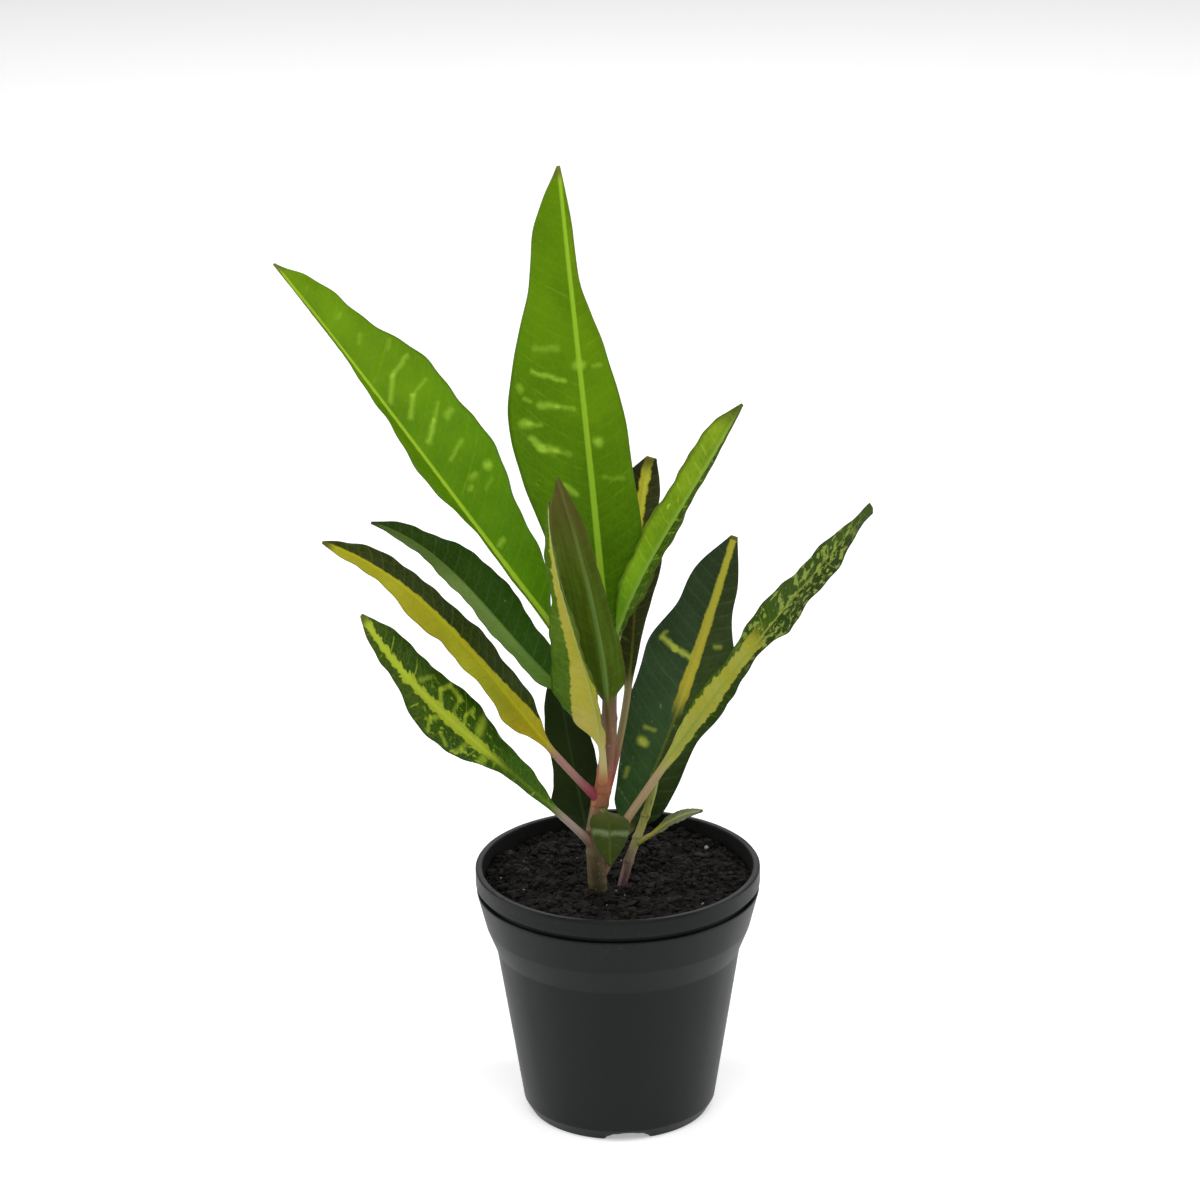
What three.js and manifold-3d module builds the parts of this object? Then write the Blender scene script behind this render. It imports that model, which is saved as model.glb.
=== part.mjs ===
// Potted croton: a young plant with narrow variegated leaves in a small nursery pot.
// Millimetres. Z is up. The pot stands on Z = 0, its axis is the Z axis and -Y is the front.

import * as THREE from 'three';
import { mergeVertices } from 'three/addons/utils/BufferGeometryUtils.js';
import Module from 'manifold-3d';

const wasm = await Module();
wasm.setup();

// Clearance between two pieces that touch on the real plant.
const SEAT_GAP = 0.3;

// Pot: radii are of the outside, heights are above the floor it stands on.
const POT = {
  sides: 48,
  height: 97,
  footRadius: 33.4,
  footRound: 0.8,
  wallFoot: 4.4,
  wallFootRadius: 35.9,
  wallTop: 65.2,
  wallTopRadius: 45.4,
  shoulderTop: 74.8,
  shoulderRadius: 49.2,
  collarTop: 88.4,
  collarRadius: 52.6,
  grooveTop: 90.6,
  grooveRadius: 50.8,
  lipRadius: 52.8,
  lipThickness: 2.6,
  wall: 1.9,
  underside: 3.6,
  footRing: 4,
  centreRadius: 13,
  edgeRound: 0.6,
};
const NOTCH = { count: 3, width: 16.6, height: 3.3, turn: 5, arcSteps: 10 };
const DRAIN = { length: 10, width: 5, radius: 24, arcSteps: 6 };

// How far a cutting shape runs past the wall that it cuts.
const CUT_PAST = 2;

// Soil: a low mound that drops at the pot's wall. Each wave of its uneven top has its turning per
// millimetre of x and y, the turn it starts from and its height.
const SOIL = {
  sides: 48,
  rings: 9,
  top: 92,
  crown: 1.2,
  edgeDrop: 1.2,
  edgeFall: 6,
  waves: [
    { along: [0.31, 0.12], start: 0.4, height: 0.45 },
    { along: [0.13, -0.37], start: 1.1, height: 0.3 },
    { along: [0.52, 0.45], start: 2, height: 0.25 },
    { along: [-0.24, 0.5], start: 0.9, height: 0.2 },
  ],
};

// Stems: points up the middle of the stem, from just above the soil to the bud.
const STEMS = {
  main_stem: {
    line: [[-7, -16, 92], [-8.2, -16.3, 107], [-7.8, -16.2, 120], [-5.6, -15.6, 132],
      [-3.2, -14.4, 149], [-2.4, -13.2, 168], [-1.8, -12.2, 183]],
    buried: 34,
    radius: 3.4,
    topRadius: 2.5,
    budLength: 5,
    scars: [97, 109, 118, 128, 133, 141, 153, 161, 171],
  },
  side_stem: {
    line: [[1.4, -10.4, 92], [4.8, -11.2, 105.4], [9, -12.4, 117.6], [12, -13.2, 127.6], [14.4, -14, 138.6]],
    buried: 26,
    radius: 1.7,
    topRadius: 1.4,
    budLength: 3.5,
    scars: [103, 113, 122],
  },
};
const STEM = { sides: 10, step: 3, scarSwell: 0.25, scarReach: 1.6, budTip: 0.25, holeClear: 10 };

// Leaves. The midrib starts inside its stem at the height `root` and passes through the three
// points of `midrib`, the last of which is the tip. `stalk` is the share of that line that is
// petiole. `left` and `right` are half widths at even steps from the blade's base to its tip, seen
// from the upper face with the tip up. `faces` is where the upper face looks at base and tip,
// `fold` the angle by which each half is raised from flat, and `wave` the height, number and
// start of the waves of the margin, which are full where a half is `waveWidth` wide or more.
const LEAF = {
  thickness: 0.8,
  stalkRadius: 0.75,
  stalkGrowth: 0.0045,
  rootOut: 0.9,
  rib: 0.9,
  curl: 0.1,
  step: 7,
  opening: 0.12,
  waveShift: 0.37,
  waveWidth: 6,
};
const LEAVES = {
  leaf_upper_left: {
    stem: 'main_stem',
    root: 169,
    midrib: [[-43.6, -2.5, 221.7], [-83.2, 13.5, 273], [-122.5, 31.5, 321]],
    stalk: 0.13,
    left: [1.5, 2.5, 3.6, 11.4, 20, 7, 2.6, 1, 0.5],
    right: [1.5, 12, 17.5, 25, 26, 26, 17.8, 12.2, 0.5],
    faces: [[0.62, -0.52, 0.58], [0.63, -0.43, 0.65]],
    fold: 35,
    wave: [1, 4, 0.1],
  },
  leaf_tallest: {
    stem: 'main_stem',
    root: 175,
    midrib: [[-7, 1.5, 234], [-13, 14.5, 296], [-19, 27.5, 358]],
    stalk: 0.07,
    left: [1.5, 13.5, 19.5, 25.5, 28.6, 23.5, 16.5, 11.8, 0.8],
    right: [1.5, 14, 17, 15.8, 15, 10.4, 4, 3, 0.5],
    faces: [[0, -0.95, 0.25], [-0.3, -0.9, 0.25]],
    fold: 14,
    wave: [1.2, 3.5, 0],
  },
  leaf_right_narrow: {
    stem: 'main_stem',
    root: 180,
    midrib: [[7.4, -10.5, 209.5], [26, -8.5, 243.5], [46, -7.5, 279]],
    stalk: 0.12,
    left: [1.2, 4.5, 7, 8.2, 8.6, 8.4, 8, 7.8, 0.6],
    right: [1.5, 6, 9, 9, 6.8, 4.8, 3, 1.7, 0.5],
    faces: [[-0.6, -0.6, 0.5], [-0.5, -0.7, 0.5]],
    fold: 34,
    wave: [0.8, 4, 0.3],
  },
  leaf_back_right: {
    stem: 'main_stem',
    root: 120,
    midrib: [[5, 0, 172], [8, 15.5, 211], [13.8, 27.5, 247]],
    stalk: 0.29,
    left: [2.5, 8, 10, 11, 12, 11, 10, 9, 2],
    right: [1, 2.3, 3.8, 6.6, 9.3, 9, 7, 5.8, 2],
    faces: [[-0.1, -0.9, 0.3], [-0.2, -0.9, 0.3]],
    fold: 12,
    wave: [1, 3, 0.6],
  },
  leaf_broad_right: {
    stem: 'main_stem',
    root: 98,
    midrib: [[13.5, -1.5, 134.5], [30, 11.5, 175.5], [44, 23.5, 217.5]],
    stalk: 0.12,
    left: [4, 9.5, 14.4, 18.6, 18.8, 19.3, 13.2, 10.8, 1.4],
    right: [2, 9, 11, 11.4, 16.8, 15.4, 8.4, 6.2, 1.2],
    faces: [[-0.25, -0.9, 0.4], [-0.2, -0.95, 0.3]],
    fold: 10,
    wave: [1.2, 3, 0],
  },
  leaf_far_right: {
    stem: 'main_stem',
    root: 105,
    midrib: [[31.4, -24.5, 167.4], [60.5, -32.5, 210], [91, -40.7, 251.5]],
    stalk: 0.16,
    left: [1.5, 4.4, 6, 7.2, 7.8, 10, 6, 5.8, 2.4],
    right: [1.5, 6, 7, 8.2, 5.4, 12.6, 10, 7.2, 4.4],
    faces: [[-0.5, -0.65, 0.6], [-0.6, -0.4, 0.7]],
    fold: 16,
    wave: [1.4, 3.5, 0.5],
  },
  leaf_front_yellow: {
    stem: 'main_stem',
    root: 136,
    midrib: [[-9, -32.5, 178.5], [-18.5, -41.5, 218.5], [-23, -47.5, 257.5]],
    stalk: 0.11,
    left: [2.5, 11, 15, 13.5, 9.5, 6, 4.5, 3, 0.5],
    right: [3, 6.3, 5.2, 6, 6, 5, 4, 3, 0.5],
    faces: [[-0.6, -0.75, 0.3], [-0.8, -0.5, 0.3]],
    fold: 30,
    wave: [0.8, 4, 0.2],
  },
  leaf_front_upright: {
    stem: 'main_stem',
    root: 153,
    midrib: [[-5, -26.5, 190.5], [-11.5, -31.5, 227.5], [-20, -35.5, 261.5]],
    stalk: 0.13,
    left: [4, 7.6, 7.4, 6.2, 5.4, 5, 4.5, 3, 0.5],
    right: [1, 6, 9, 11, 12, 11, 9, 6, 0.5],
    faces: [[0.1, 0.9, 0.4], [0.1, 0.9, 0.4]],
    fold: 16,
    wave: [0.8, 4, 0.2],
  },
  leaf_left_dark: {
    stem: 'main_stem',
    root: 159,
    midrib: [[-33, -5.5, 184], [-58.5, 2.5, 211.5], [-88.5, 5.5, 230.5]],
    stalk: 0.12,
    left: [1.2, 8, 10, 9.6, 9.2, 7.8, 6.5, 3.8, 0.5],
    right: [1.2, 7.5, 9.6, 11.2, 12.5, 11, 7.5, 4.8, 0.5],
    faces: [[0.42, -0.7, 0.62], [0.42, -0.7, 0.62]],
    fold: 36,
    wave: [0.9, 4, 0.2],
  },
  leaf_left_yellow: {
    stem: 'main_stem',
    root: 130,
    midrib: [[-37.5, -27.5, 172.5], [-66.5, -36.5, 212.5], [-103.5, -43.5, 241]],
    stalk: 0.14,
    left: [1.3, 4.3, 12.2, 8.2, 8.5, 12.4, 5.6, 6.3, 0.6],
    right: [1.3, 6.2, 9.5, 11.7, 8.4, 10, 6.9, 7.4, 0.6],
    faces: [[0.5, -0.5, 0.7], [0.35, -0.5, 0.85]],
    fold: 14,
    wave: [1.5, 3.5, 0.2],
  },
  leaf_low_left: {
    stem: 'main_stem',
    root: 112,
    midrib: [[-38.5, -33.5, 148], [-67, -46.5, 181.5], [-89.5, -58.5, 219]],
    stalk: 0.11,
    left: [1.3, 2, 3, 7, 12.2, 13.8, 5.7, 5.9, 0.8],
    right: [1.8, 5, 8, 12, 13.6, 12.9, 10.2, 8.9, 0.8],
    faces: [[0.4, -0.55, 0.7], [0.4, -0.6, 0.65]],
    fold: 12,
    wave: [1, 3.5, 0.2],
  },
  leaf_back_dark: {
    stem: 'main_stem',
    root: 108,
    midrib: [[-13.5, -4.5, 124.5], [-18, 2.5, 147.5], [-22.5, 7.5, 172.5]],
    stalk: 0.12,
    left: [1.2, 8, 11.2, 9, 7.6, 8.7, 7.5, 5, 0.5],
    right: [1, 6, 8, 9, 9, 8, 7, 5, 0.5],
    faces: [[0.2, -0.9, 0.35], [0.2, -0.9, 0.35]],
    fold: 10,
    wave: [1, 3, 0.2],
  },
  leaf_small_right: {
    stem: 'side_stem',
    root: 111,
    midrib: [[15, -17, 118], [22, -22.5, 125], [31, -28, 130]],
    stalk: 0.16,
    left: [1, 2, 3.6, 4.2, 3.1, 2.3, 0.6],
    right: [1, 3, 4, 4.5, 4, 3, 0.5],
    faces: [[-0.2, -0.35, 0.9], [-0.1, -0.35, 0.9]],
    fold: 16,
    wave: [0.4, 3, 0.2],
  },
  leaf_small_front: {
    stem: 'main_stem',
    root: 126,
    midrib: [[-3.4, -27, 127.5], [-2.8, -36, 123.8], [-2.6, -41, 114]],
    stalk: 0.18,
    left: [1, 5, 7.2, 7.4, 6.2, 4, 0.5],
    right: [1, 5, 7.2, 7.4, 6.2, 4, 0.5],
    faces: [[0.1, -0.2, 0.95], [0.2, -0.9, 0.3]],
    fold: 14,
    wave: [0.4, 3, 0.2],
  },
};

const COLOURS = {
  pot: 0x2b2c2d,
  soil: 0x1d1714,
  main_stem: 0x9a8c5a,
  side_stem: 0xb9b878,
  leaf_upper_left: 0x5c9a0e,
  leaf_tallest: 0x55900c,
  leaf_right_narrow: 0x6f9426,
  leaf_back_right: 0x3a4212,
  leaf_broad_right: 0x2a4532,
  leaf_far_right: 0x6d7d34,
  leaf_front_yellow: 0xa3a03a,
  leaf_front_upright: 0x4f5222,
  leaf_left_dark: 0x1f5517,
  leaf_left_yellow: 0x8f8a18,
  leaf_low_left: 0x5d8a22,
  leaf_back_dark: 0x1e2c16,
  leaf_small_right: 0x6f8446,
  leaf_small_front: 0x3d5c38,
};
const FINISH = { pot: [0.45, 0], soil: [0.95, 0], stem: [0.6, 0], leaf: [0.38, 0] };

const vec = (p) => new THREE.Vector3(...p);

// A closed solid through rings of points, with a flat fan over each end. The columns that
// `mirrored` names take the other diagonal, so that both faces of a blade are split alike.
function loft(rings, mirrored = () => false) {
  const around = rings[0].length;
  const faces = [];
  for (let i = 0; i + 1 < rings.length; i++) {
    for (let j = 0; j < around; j++) {
      const a = i * around + j;
      const b = i * around + ((j + 1) % around);
      const c = a + around;
      const d = b + around;
      if (mirrored(j)) faces.push(a, b, c, b, d, c);
      else faces.push(a, b, d, a, d, c);
    }
  }
  const last = (rings.length - 1) * around;
  for (let j = 1; j + 1 < around; j++) faces.push(0, j + 1, j, last, last + j, last + j + 1);
  const geometry = new THREE.BufferGeometry();
  const points = rings.flat().flatMap((p) => p.toArray());
  geometry.setAttribute('position', new THREE.Float32BufferAttribute(points, 3));
  geometry.setIndex(faces);
  return geometry;
}

function toManifold(geometry) {
  const bare = geometry.clone();
  bare.deleteAttribute('normal');
  bare.deleteAttribute('uv');
  const merged = mergeVertices(bare, 1e-4);
  const vertProperties = new Float32Array(merged.attributes.position.array);
  const triVerts = new Uint32Array(merged.index.array);
  return new wasm.Manifold(new wasm.Mesh({ numProp: 3, vertProperties, triVerts }));
}

function fromManifold(solid) {
  const mesh = solid.getMesh();
  const geometry = new THREE.BufferGeometry();
  geometry.setAttribute('position', new THREE.BufferAttribute(new Float32Array(mesh.vertProperties), 3));
  geometry.setIndex(new THREE.BufferAttribute(new Uint32Array(mesh.triVerts), 1));
  return geometry;
}

const TINY = 0.001;
const smooth = (t) => t * t * (3 - 2 * t);
const clamp01 = (t) => Math.min(1, Math.max(0, t));

// Turns a profile of [radius, height] pairs, closed on the Z axis, into a solid of revolution.
function turned(profile, sides) {
  const points = profile.map(([radius, height]) => new THREE.Vector2(radius, height));
  return new THREE.LatheGeometry(points, sides).rotateX(Math.PI / 2);
}

// The pot
const inside = {
  lip: POT.lipRadius - POT.lipThickness,
  shoulder: POT.shoulderRadius - POT.wall,
  wallTop: POT.wallTopRadius - POT.wall,
  floor: POT.wallFootRadius - POT.wall,
  floorHeight: POT.underside + POT.wall,
};

function potSolid() {
  const r = POT.edgeRound;
  const profile = [
    [0, 0],
    [POT.centreRadius, 0],
    [POT.centreRadius + r, POT.underside],
    [POT.footRadius - POT.footRing, POT.underside],
    [POT.footRadius - POT.footRing, 0],
    [POT.footRadius - POT.footRound, 0],
    [POT.footRadius, POT.footRound],
    [POT.wallFootRadius, POT.wallFoot],
    [POT.wallTopRadius, POT.wallTop],
    [POT.shoulderRadius, POT.shoulderTop],
    [POT.collarRadius, POT.collarTop - r],
    [POT.collarRadius - r, POT.collarTop],
    [POT.grooveRadius, POT.collarTop],
    [POT.grooveRadius, POT.grooveTop],
    [POT.lipRadius - r, POT.grooveTop],
    [POT.lipRadius, POT.height - r],
    [POT.lipRadius - r, POT.height],
    [inside.lip + r, POT.height],
    [inside.lip, POT.height - r],
    [inside.shoulder, POT.shoulderTop],
    [inside.wallTop, POT.wallTop],
    [inside.floor, inside.floorHeight],
    [0, inside.floorHeight],
  ];
  let solid = toManifold(turned(profile, POT.sides));
  for (let i = 0; i < NOTCH.count; i++) {
    const turn = THREE.MathUtils.degToRad(NOTCH.turn - 90 + (360 / NOTCH.count) * i);
    solid = solid.subtract(toManifold(notchCutter(turn))).subtract(toManifold(drainCutter(turn)));
  }
  return fromManifold(solid);
}

// An arched tunnel under the foot ring, pointing outwards at the angle `turn`.
function notchCutter(turn) {
  const arch = new THREE.Shape();
  arch.moveTo(-NOTCH.width / 2, -CUT_PAST);
  arch.lineTo(NOTCH.width / 2, -CUT_PAST);
  arch.lineTo(NOTCH.width / 2, 0);
  arch.absellipse(0, 0, NOTCH.width / 2, NOTCH.height, 0, Math.PI, false);
  const from = POT.footRadius - POT.footRing - CUT_PAST;
  const depth = POT.footRing + 2 * CUT_PAST;
  const steps = NOTCH.arcSteps;
  const tunnel = new THREE.ExtrudeGeometry(arch, { depth, bevelEnabled: false, curveSegments: steps });
  tunnel.rotateX(Math.PI / 2).translate(0, -from, 0);
  return tunnel.rotateZ(turn + Math.PI / 2);
}

// A slot through the pot's floor, its long side along the radius.
function drainCutter(turn) {
  const slot = new THREE.Shape();
  const half = DRAIN.length / 2 - DRAIN.width / 2;
  slot.absarc(half, 0, DRAIN.width / 2, -Math.PI / 2, Math.PI / 2, false);
  slot.absarc(-half, 0, DRAIN.width / 2, Math.PI / 2, (3 * Math.PI) / 2, false);
  const depth = inside.floorHeight + 2 * CUT_PAST;
  const steps = DRAIN.arcSteps;
  const cutter = new THREE.ExtrudeGeometry(slot, { depth, bevelEnabled: false, curveSegments: steps });
  return cutter.translate(DRAIN.radius, 0, -CUT_PAST).rotateZ(turn);
}

// The soil
// Height of the soil's surface at a point.
function soilHeight(x, y) {
  const out = Math.hypot(x, y) / inside.lip;
  const mound = SOIL.crown * (1 - out * out) - SOIL.edgeDrop * out ** SOIL.edgeFall;
  const waves = SOIL.waves.map(({ along, start, height }) => {
    return height * Math.sin(along[0] * x + along[1] * y + start);
  });
  return SOIL.top + mound + waves.reduce((sum, height) => sum + height, 0);
}

// Radius of the soil against the pot's wall.
function soilRadius(height) {
  const steps = [
    [inside.floorHeight, inside.floor],
    [POT.wallTop, inside.wallTop],
    [POT.shoulderTop, inside.shoulder],
    [POT.height, inside.lip],
  ];
  const k = steps.findIndex(([z], i) => i > 0 && height <= z);
  const [[z0, r0], [z1, r1]] = [steps[k - 1], steps[k]];
  return r0 + ((r1 - r0) * (height - z0)) / (z1 - z0) - SEAT_GAP;
}

function soilSolid() {
  const ringAt = (radius, height) => Array.from({ length: SOIL.sides }, (_, i) => {
    const turn = (2 * Math.PI * i) / SOIL.sides;
    const x = radius * Math.cos(turn);
    const y = radius * Math.sin(turn);
    return new THREE.Vector3(x, y, height ?? soilHeight(x, y));
  });
  const bottom = inside.floorHeight + SEAT_GAP;
  const rings = [bottom, POT.wallTop, POT.shoulderTop].map((z) => ringAt(soilRadius(z), z));
  const edge = soilRadius(SOIL.top - SOIL.edgeDrop);
  for (let i = 0; i < SOIL.rings; i++) rings.push(ringAt(edge * (1 - i / SOIL.rings)));
  let solid = toManifold(loft(rings));
  for (const stem of Object.values(STEMS)) solid = solid.subtract(toManifold(stemHole(stem)));
  return fromManifold(solid);
}

// A plain upright hole for a stem.
function stemHole(stem) {
  const [x, y, z] = stem.line[0];
  const radius = stem.radius + STEM.scarSwell + SEAT_GAP;
  const depth = stem.buried + SEAT_GAP;
  const length = depth + STEM.holeClear;
  const hole = new THREE.CylinderGeometry(radius, radius, length, STEM.sides);
  return hole.rotateX(Math.PI / 2).translate(x, y, z - depth + length / 2);
}

// The stems
function stemCurve(stem) {
  return new THREE.CatmullRomCurve3(stem.line.map(vec));
}

// Radius at a height, `toTip` away from the end of the bud, with a swelling at each leaf scar.
function stemRadius(stem, height, toTip) {
  const [, , foot] = stem.line[0];
  const [, , top] = stem.line[stem.line.length - 1];
  const taper = THREE.MathUtils.lerp(stem.radius, stem.topRadius, clamp01((height - foot) / (top - foot)));
  const swell = stem.scars.reduce((sum, z) => sum + Math.exp(-(((height - z) / STEM.scarReach) ** 2)), 0);
  const bud = Math.sqrt(1 - (1 - clamp01(toTip / stem.budLength)) ** 2);
  return (taper + STEM.scarSwell * swell) * Math.max(bud, STEM.budTip);
}

function stemRing(centre, along, radius) {
  const side = new THREE.Vector3(1, 0, 0).addScaledVector(along, -along.x).normalize();
  const other = along.clone().cross(side);
  return Array.from({ length: STEM.sides }, (_, i) => {
    const turn = (2 * Math.PI * i) / STEM.sides;
    const point = centre.clone().addScaledVector(side, radius * Math.cos(turn));
    return point.addScaledVector(other, radius * Math.sin(turn));
  });
}

// The stem as a loft, `grown` wider than the real one all round.
function stemSolid(stem, grown = 0) {
  const curve = stemCurve(stem);
  const length = curve.getLength();
  const steps = Math.round(length / STEM.step);
  const up = new THREE.Vector3(0, 0, 1);
  const foot = vec(stem.line[0]);
  const rings = [stemRing(foot.clone().setZ(foot.z - stem.buried), up, stem.radius + grown)];
  for (let i = 0; i <= steps; i++) {
    const centre = curve.getPointAt(i / steps);
    const radius = stemRadius(stem, centre.z, length * (1 - i / steps)) + grown;
    rings.push(stemRing(centre, i ? curve.getTangentAt(i / steps) : up, radius));
  }
  return loft(rings);
}

// The leaves
// Where the leaf leaves its stem: just inside the stem's skin, on the side it grows towards.
function leafRoot(leaf) {
  const stem = STEMS[leaf.stem];
  const curve = stemCurve(stem);
  let t = 0;
  while (t < 1 && curve.getPoint(t).z < leaf.root) t += TINY;
  const centre = curve.getPoint(t);
  const outwards = vec(leaf.midrib[0]).sub(centre).setZ(0).normalize();
  return centre.addScaledVector(outwards, LEAF.rootOut);
}

// Cubic through the root and the three points of the midrib, at equal steps of u.
function midribPoint(knots, u) {
  const at = [0, 1 / 3, 2 / 3, 1];
  const sum = new THREE.Vector3();
  knots.forEach((knot, i) => {
    const weight = at.reduce((w, other, j) => (j === i ? w : (w * (u - other)) / (at[i] - other)), 1);
    sum.addScaledVector(knot, weight);
  });
  return sum;
}

// Smooth curve through the half widths of one side.
function halfWidth(values, v) {
  const last = values.length - 1;
  const x = clamp01(v) * last;
  const i = Math.min(Math.floor(x), last - 1);
  const f = x - i;
  const b = values[i];
  const c = values[i + 1];
  const a = i > 0 ? values[i - 1] : 2 * b - c;
  const d = i + 2 <= last ? values[i + 2] : 2 * c - b;
  return b + 0.5 * f * (c - a + f * (2 * a - 5 * b + 4 * c - d + f * (3 * (b - c) + d - a)));
}

// The middle surface of the blade: `across` runs from -1, the left margin, to 1, the right one.
function bladePoint(leaf, knots, v, across) {
  const u = leaf.stalk + (1 - leaf.stalk) * v;
  const { point, face, side } = leafAxes(leaf, knots, u);
  const out = Math.abs(across);
  const width = halfWidth(across < 0 ? leaf.left : leaf.right, v);
  const fold = THREE.MathUtils.degToRad(leaf.fold);
  const [height, count, start] = leaf.wave;
  const turn = 2 * Math.PI * (count * v + start + (across < 0 ? 0 : LEAF.waveShift));
  const wave = height * out * out * Math.sin(turn) * Math.min(1, width / LEAF.waveWidth);
  const lift = width * (out * Math.sin(fold) - LEAF.curl * out * out) + wave;
  return point.addScaledVector(side, width * across * Math.cos(fold)).addScaledVector(face, lift);
}

// Point, direction, upper face and right-hand side of the midrib at u.
function leafAxes(leaf, knots, u) {
  const point = midribPoint(knots, u);
  const along = midribPoint(knots, u + TINY).sub(midribPoint(knots, u - TINY)).normalize();
  const v = clamp01((u - leaf.stalk) / (1 - leaf.stalk));
  const face = vec(leaf.faces[0]).normalize().lerp(vec(leaf.faces[1]).normalize(), smooth(v));
  face.addScaledVector(along, -face.dot(along)).normalize();
  return { point, along, face, side: along.clone().cross(face) };
}

// The longer the leaf, the thicker its petiole.
function stalkRadius(knots) {
  return LEAF.stalkRadius + LEAF.stalkGrowth * knots[0].distanceTo(knots[3]);
}

const ACROSS = [-1, -0.5, 0, 0.5, 1];

// One ring of a leaf: the upper face from left to right, then the lower face back. In the
// stalk it is round; over the first part of the blade it opens out flat.
function leafRing(leaf, knots, u) {
  const v = clamp01((u - leaf.stalk) / (1 - leaf.stalk));
  const open = smooth(clamp01(v / LEAF.opening));
  const { point, face, side } = leafAxes(leaf, knots, u);
  const corners = 2 * ACROSS.length;
  const radius = stalkRadius(knots);
  const round = (i) => {
    const turn = Math.PI * (1 - (i + 0.5) / ACROSS.length);
    return point.clone().addScaledVector(side, radius * Math.cos(turn))
      .addScaledVector(face, radius * Math.sin(turn));
  };
  const flat = (i) => {
    const upper = i < ACROSS.length;
    const across = ACROSS[upper ? i : corners - 1 - i];
    const rib = upper || across ? 0 : LEAF.rib * (1 - v);
    const depth = upper ? LEAF.thickness / 2 : -LEAF.thickness / 2 - rib;
    return bladePoint(leaf, knots, v, across).addScaledVector(bladeNormal(leaf, knots, v, across), depth);
  };
  return Array.from({ length: corners }, (_, i) => (open > 0 ? round(i).lerp(flat(i), open) : round(i)));
}

// Direction out of the upper face, from the surface a short way along and across.
function bladeNormal(leaf, knots, v, across) {
  const ahead = 0.02;
  const beside = 0.1;
  const from = Math.min(v, 1 - ahead);
  const along = bladePoint(leaf, knots, from + ahead, across).sub(bladePoint(leaf, knots, from, across));
  const left = bladePoint(leaf, knots, v, Math.max(across - beside, -1));
  const right = bladePoint(leaf, knots, v, Math.min(across + beside, 1));
  return right.sub(left).cross(along).normalize();
}

function leafSolid(leaf) {
  const knots = [leafRoot(leaf), ...leaf.midrib.map(vec)];
  const length = new THREE.CatmullRomCurve3(knots).getLength();
  const stalkSteps = Math.max(2, Math.round((length * leaf.stalk) / LEAF.step));
  const bladeSteps = Math.round((length * (1 - leaf.stalk)) / LEAF.step);
  const rings = [];
  for (let i = 0; i < stalkSteps; i++) rings.push(leafRing(leaf, knots, (leaf.stalk * i) / stalkSteps));
  for (let i = 0; i <= bladeSteps; i++) {
    rings.push(leafRing(leaf, knots, leaf.stalk + (1 - leaf.stalk) * (i / bladeSteps)));
  }
  const blade = toManifold(loft(rings, (column) => column >= ACROSS.length));
  return fromManifold(blade.subtract(toManifold(stemSolid(STEMS[leaf.stem], SEAT_GAP))));
}

// The whole plant
function material(name, [roughness, metalness]) {
  return new THREE.MeshStandardMaterial({ color: COLOURS[name], roughness, metalness });
}

function piece(name, geometry, finish) {
  const mesh = new THREE.Mesh(geometry, material(name, finish));
  mesh.name = name;
  return mesh;
}

const plant = new THREE.Group();
plant.add(piece('pot', potSolid(), FINISH.pot));
plant.add(piece('soil', soilSolid(), FINISH.soil));
for (const [name, stem] of Object.entries(STEMS)) plant.add(piece(name, stemSolid(stem), FINISH.stem));
for (const [name, leaf] of Object.entries(LEAVES)) plant.add(piece(name, leafSolid(leaf), FINISH.leaf));

export default plant;
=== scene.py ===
"""Potted croton: the finished look of its pot, soil, stems and leaves, laid out as an add-on."""

import itertools
import math
import random

import bpy
import numpy as np
from mathutils import Matrix, Vector, noise


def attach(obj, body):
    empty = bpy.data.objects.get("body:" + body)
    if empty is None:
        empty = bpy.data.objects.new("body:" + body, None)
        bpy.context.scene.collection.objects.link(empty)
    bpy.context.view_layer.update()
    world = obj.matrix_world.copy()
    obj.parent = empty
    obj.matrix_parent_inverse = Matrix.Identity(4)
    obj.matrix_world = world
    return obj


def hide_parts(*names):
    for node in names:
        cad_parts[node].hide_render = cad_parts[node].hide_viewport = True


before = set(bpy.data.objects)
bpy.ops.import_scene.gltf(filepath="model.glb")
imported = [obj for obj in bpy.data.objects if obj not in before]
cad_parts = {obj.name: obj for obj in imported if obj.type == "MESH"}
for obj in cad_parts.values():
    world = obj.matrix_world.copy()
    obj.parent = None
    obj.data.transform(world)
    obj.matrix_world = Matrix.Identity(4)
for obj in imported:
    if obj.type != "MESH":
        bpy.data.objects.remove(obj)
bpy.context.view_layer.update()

bl_info = {
    "name": "Potted Croton",
    "version": (1, 0, 0),
    "blender": (4, 5, 0),
    "location": "View3D > Sidebar > Croton",
    "description": "Builds a young croton with variegated leaves in a nursery pot",
    "category": "Add Mesh",
}

MM = 0.001
ROOT = "root"

# Pot, in millimetres: radii are of the outside, heights are above the floor. The notches cut the foot
# ring and what is within `leeway` of its inner side.
POT = {
    "height": 97,
    "foot_radius": 33.4,
    "wall_foot": 4.4,
    "wall_foot_radius": 35.9,
    "wall_top": 65.2,
    "wall_top_radius": 45.4,
    "shoulder_top": 74.8,
    "shoulder_radius": 49.2,
    "collar_top": 88.4,
    "collar_radius": 52.6,
    "groove_top": 90.6,
    "groove_radius": 50.8,
    "lip_radius": 52.8,
    "lip_thickness": 2.6,
    "wall": 1.9,
    "underside": 3.6,
    "foot_ring": 4,
    "centre_radius": 13,
    "wall_foot_round": 1.2,
    "wall_top_round": 4,
    "shoulder_round": 5,
    "inner_round": 2,
    "outline_step": 1.6,
    "leeway": 0.4,
}
NOTCH = {"count": 3, "width": 16.6, "height": 3.3, "turn": 5}
DRAIN = {"length": 10, "width": 5, "radius": 24, "sides": 32, "past": 2}
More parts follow.
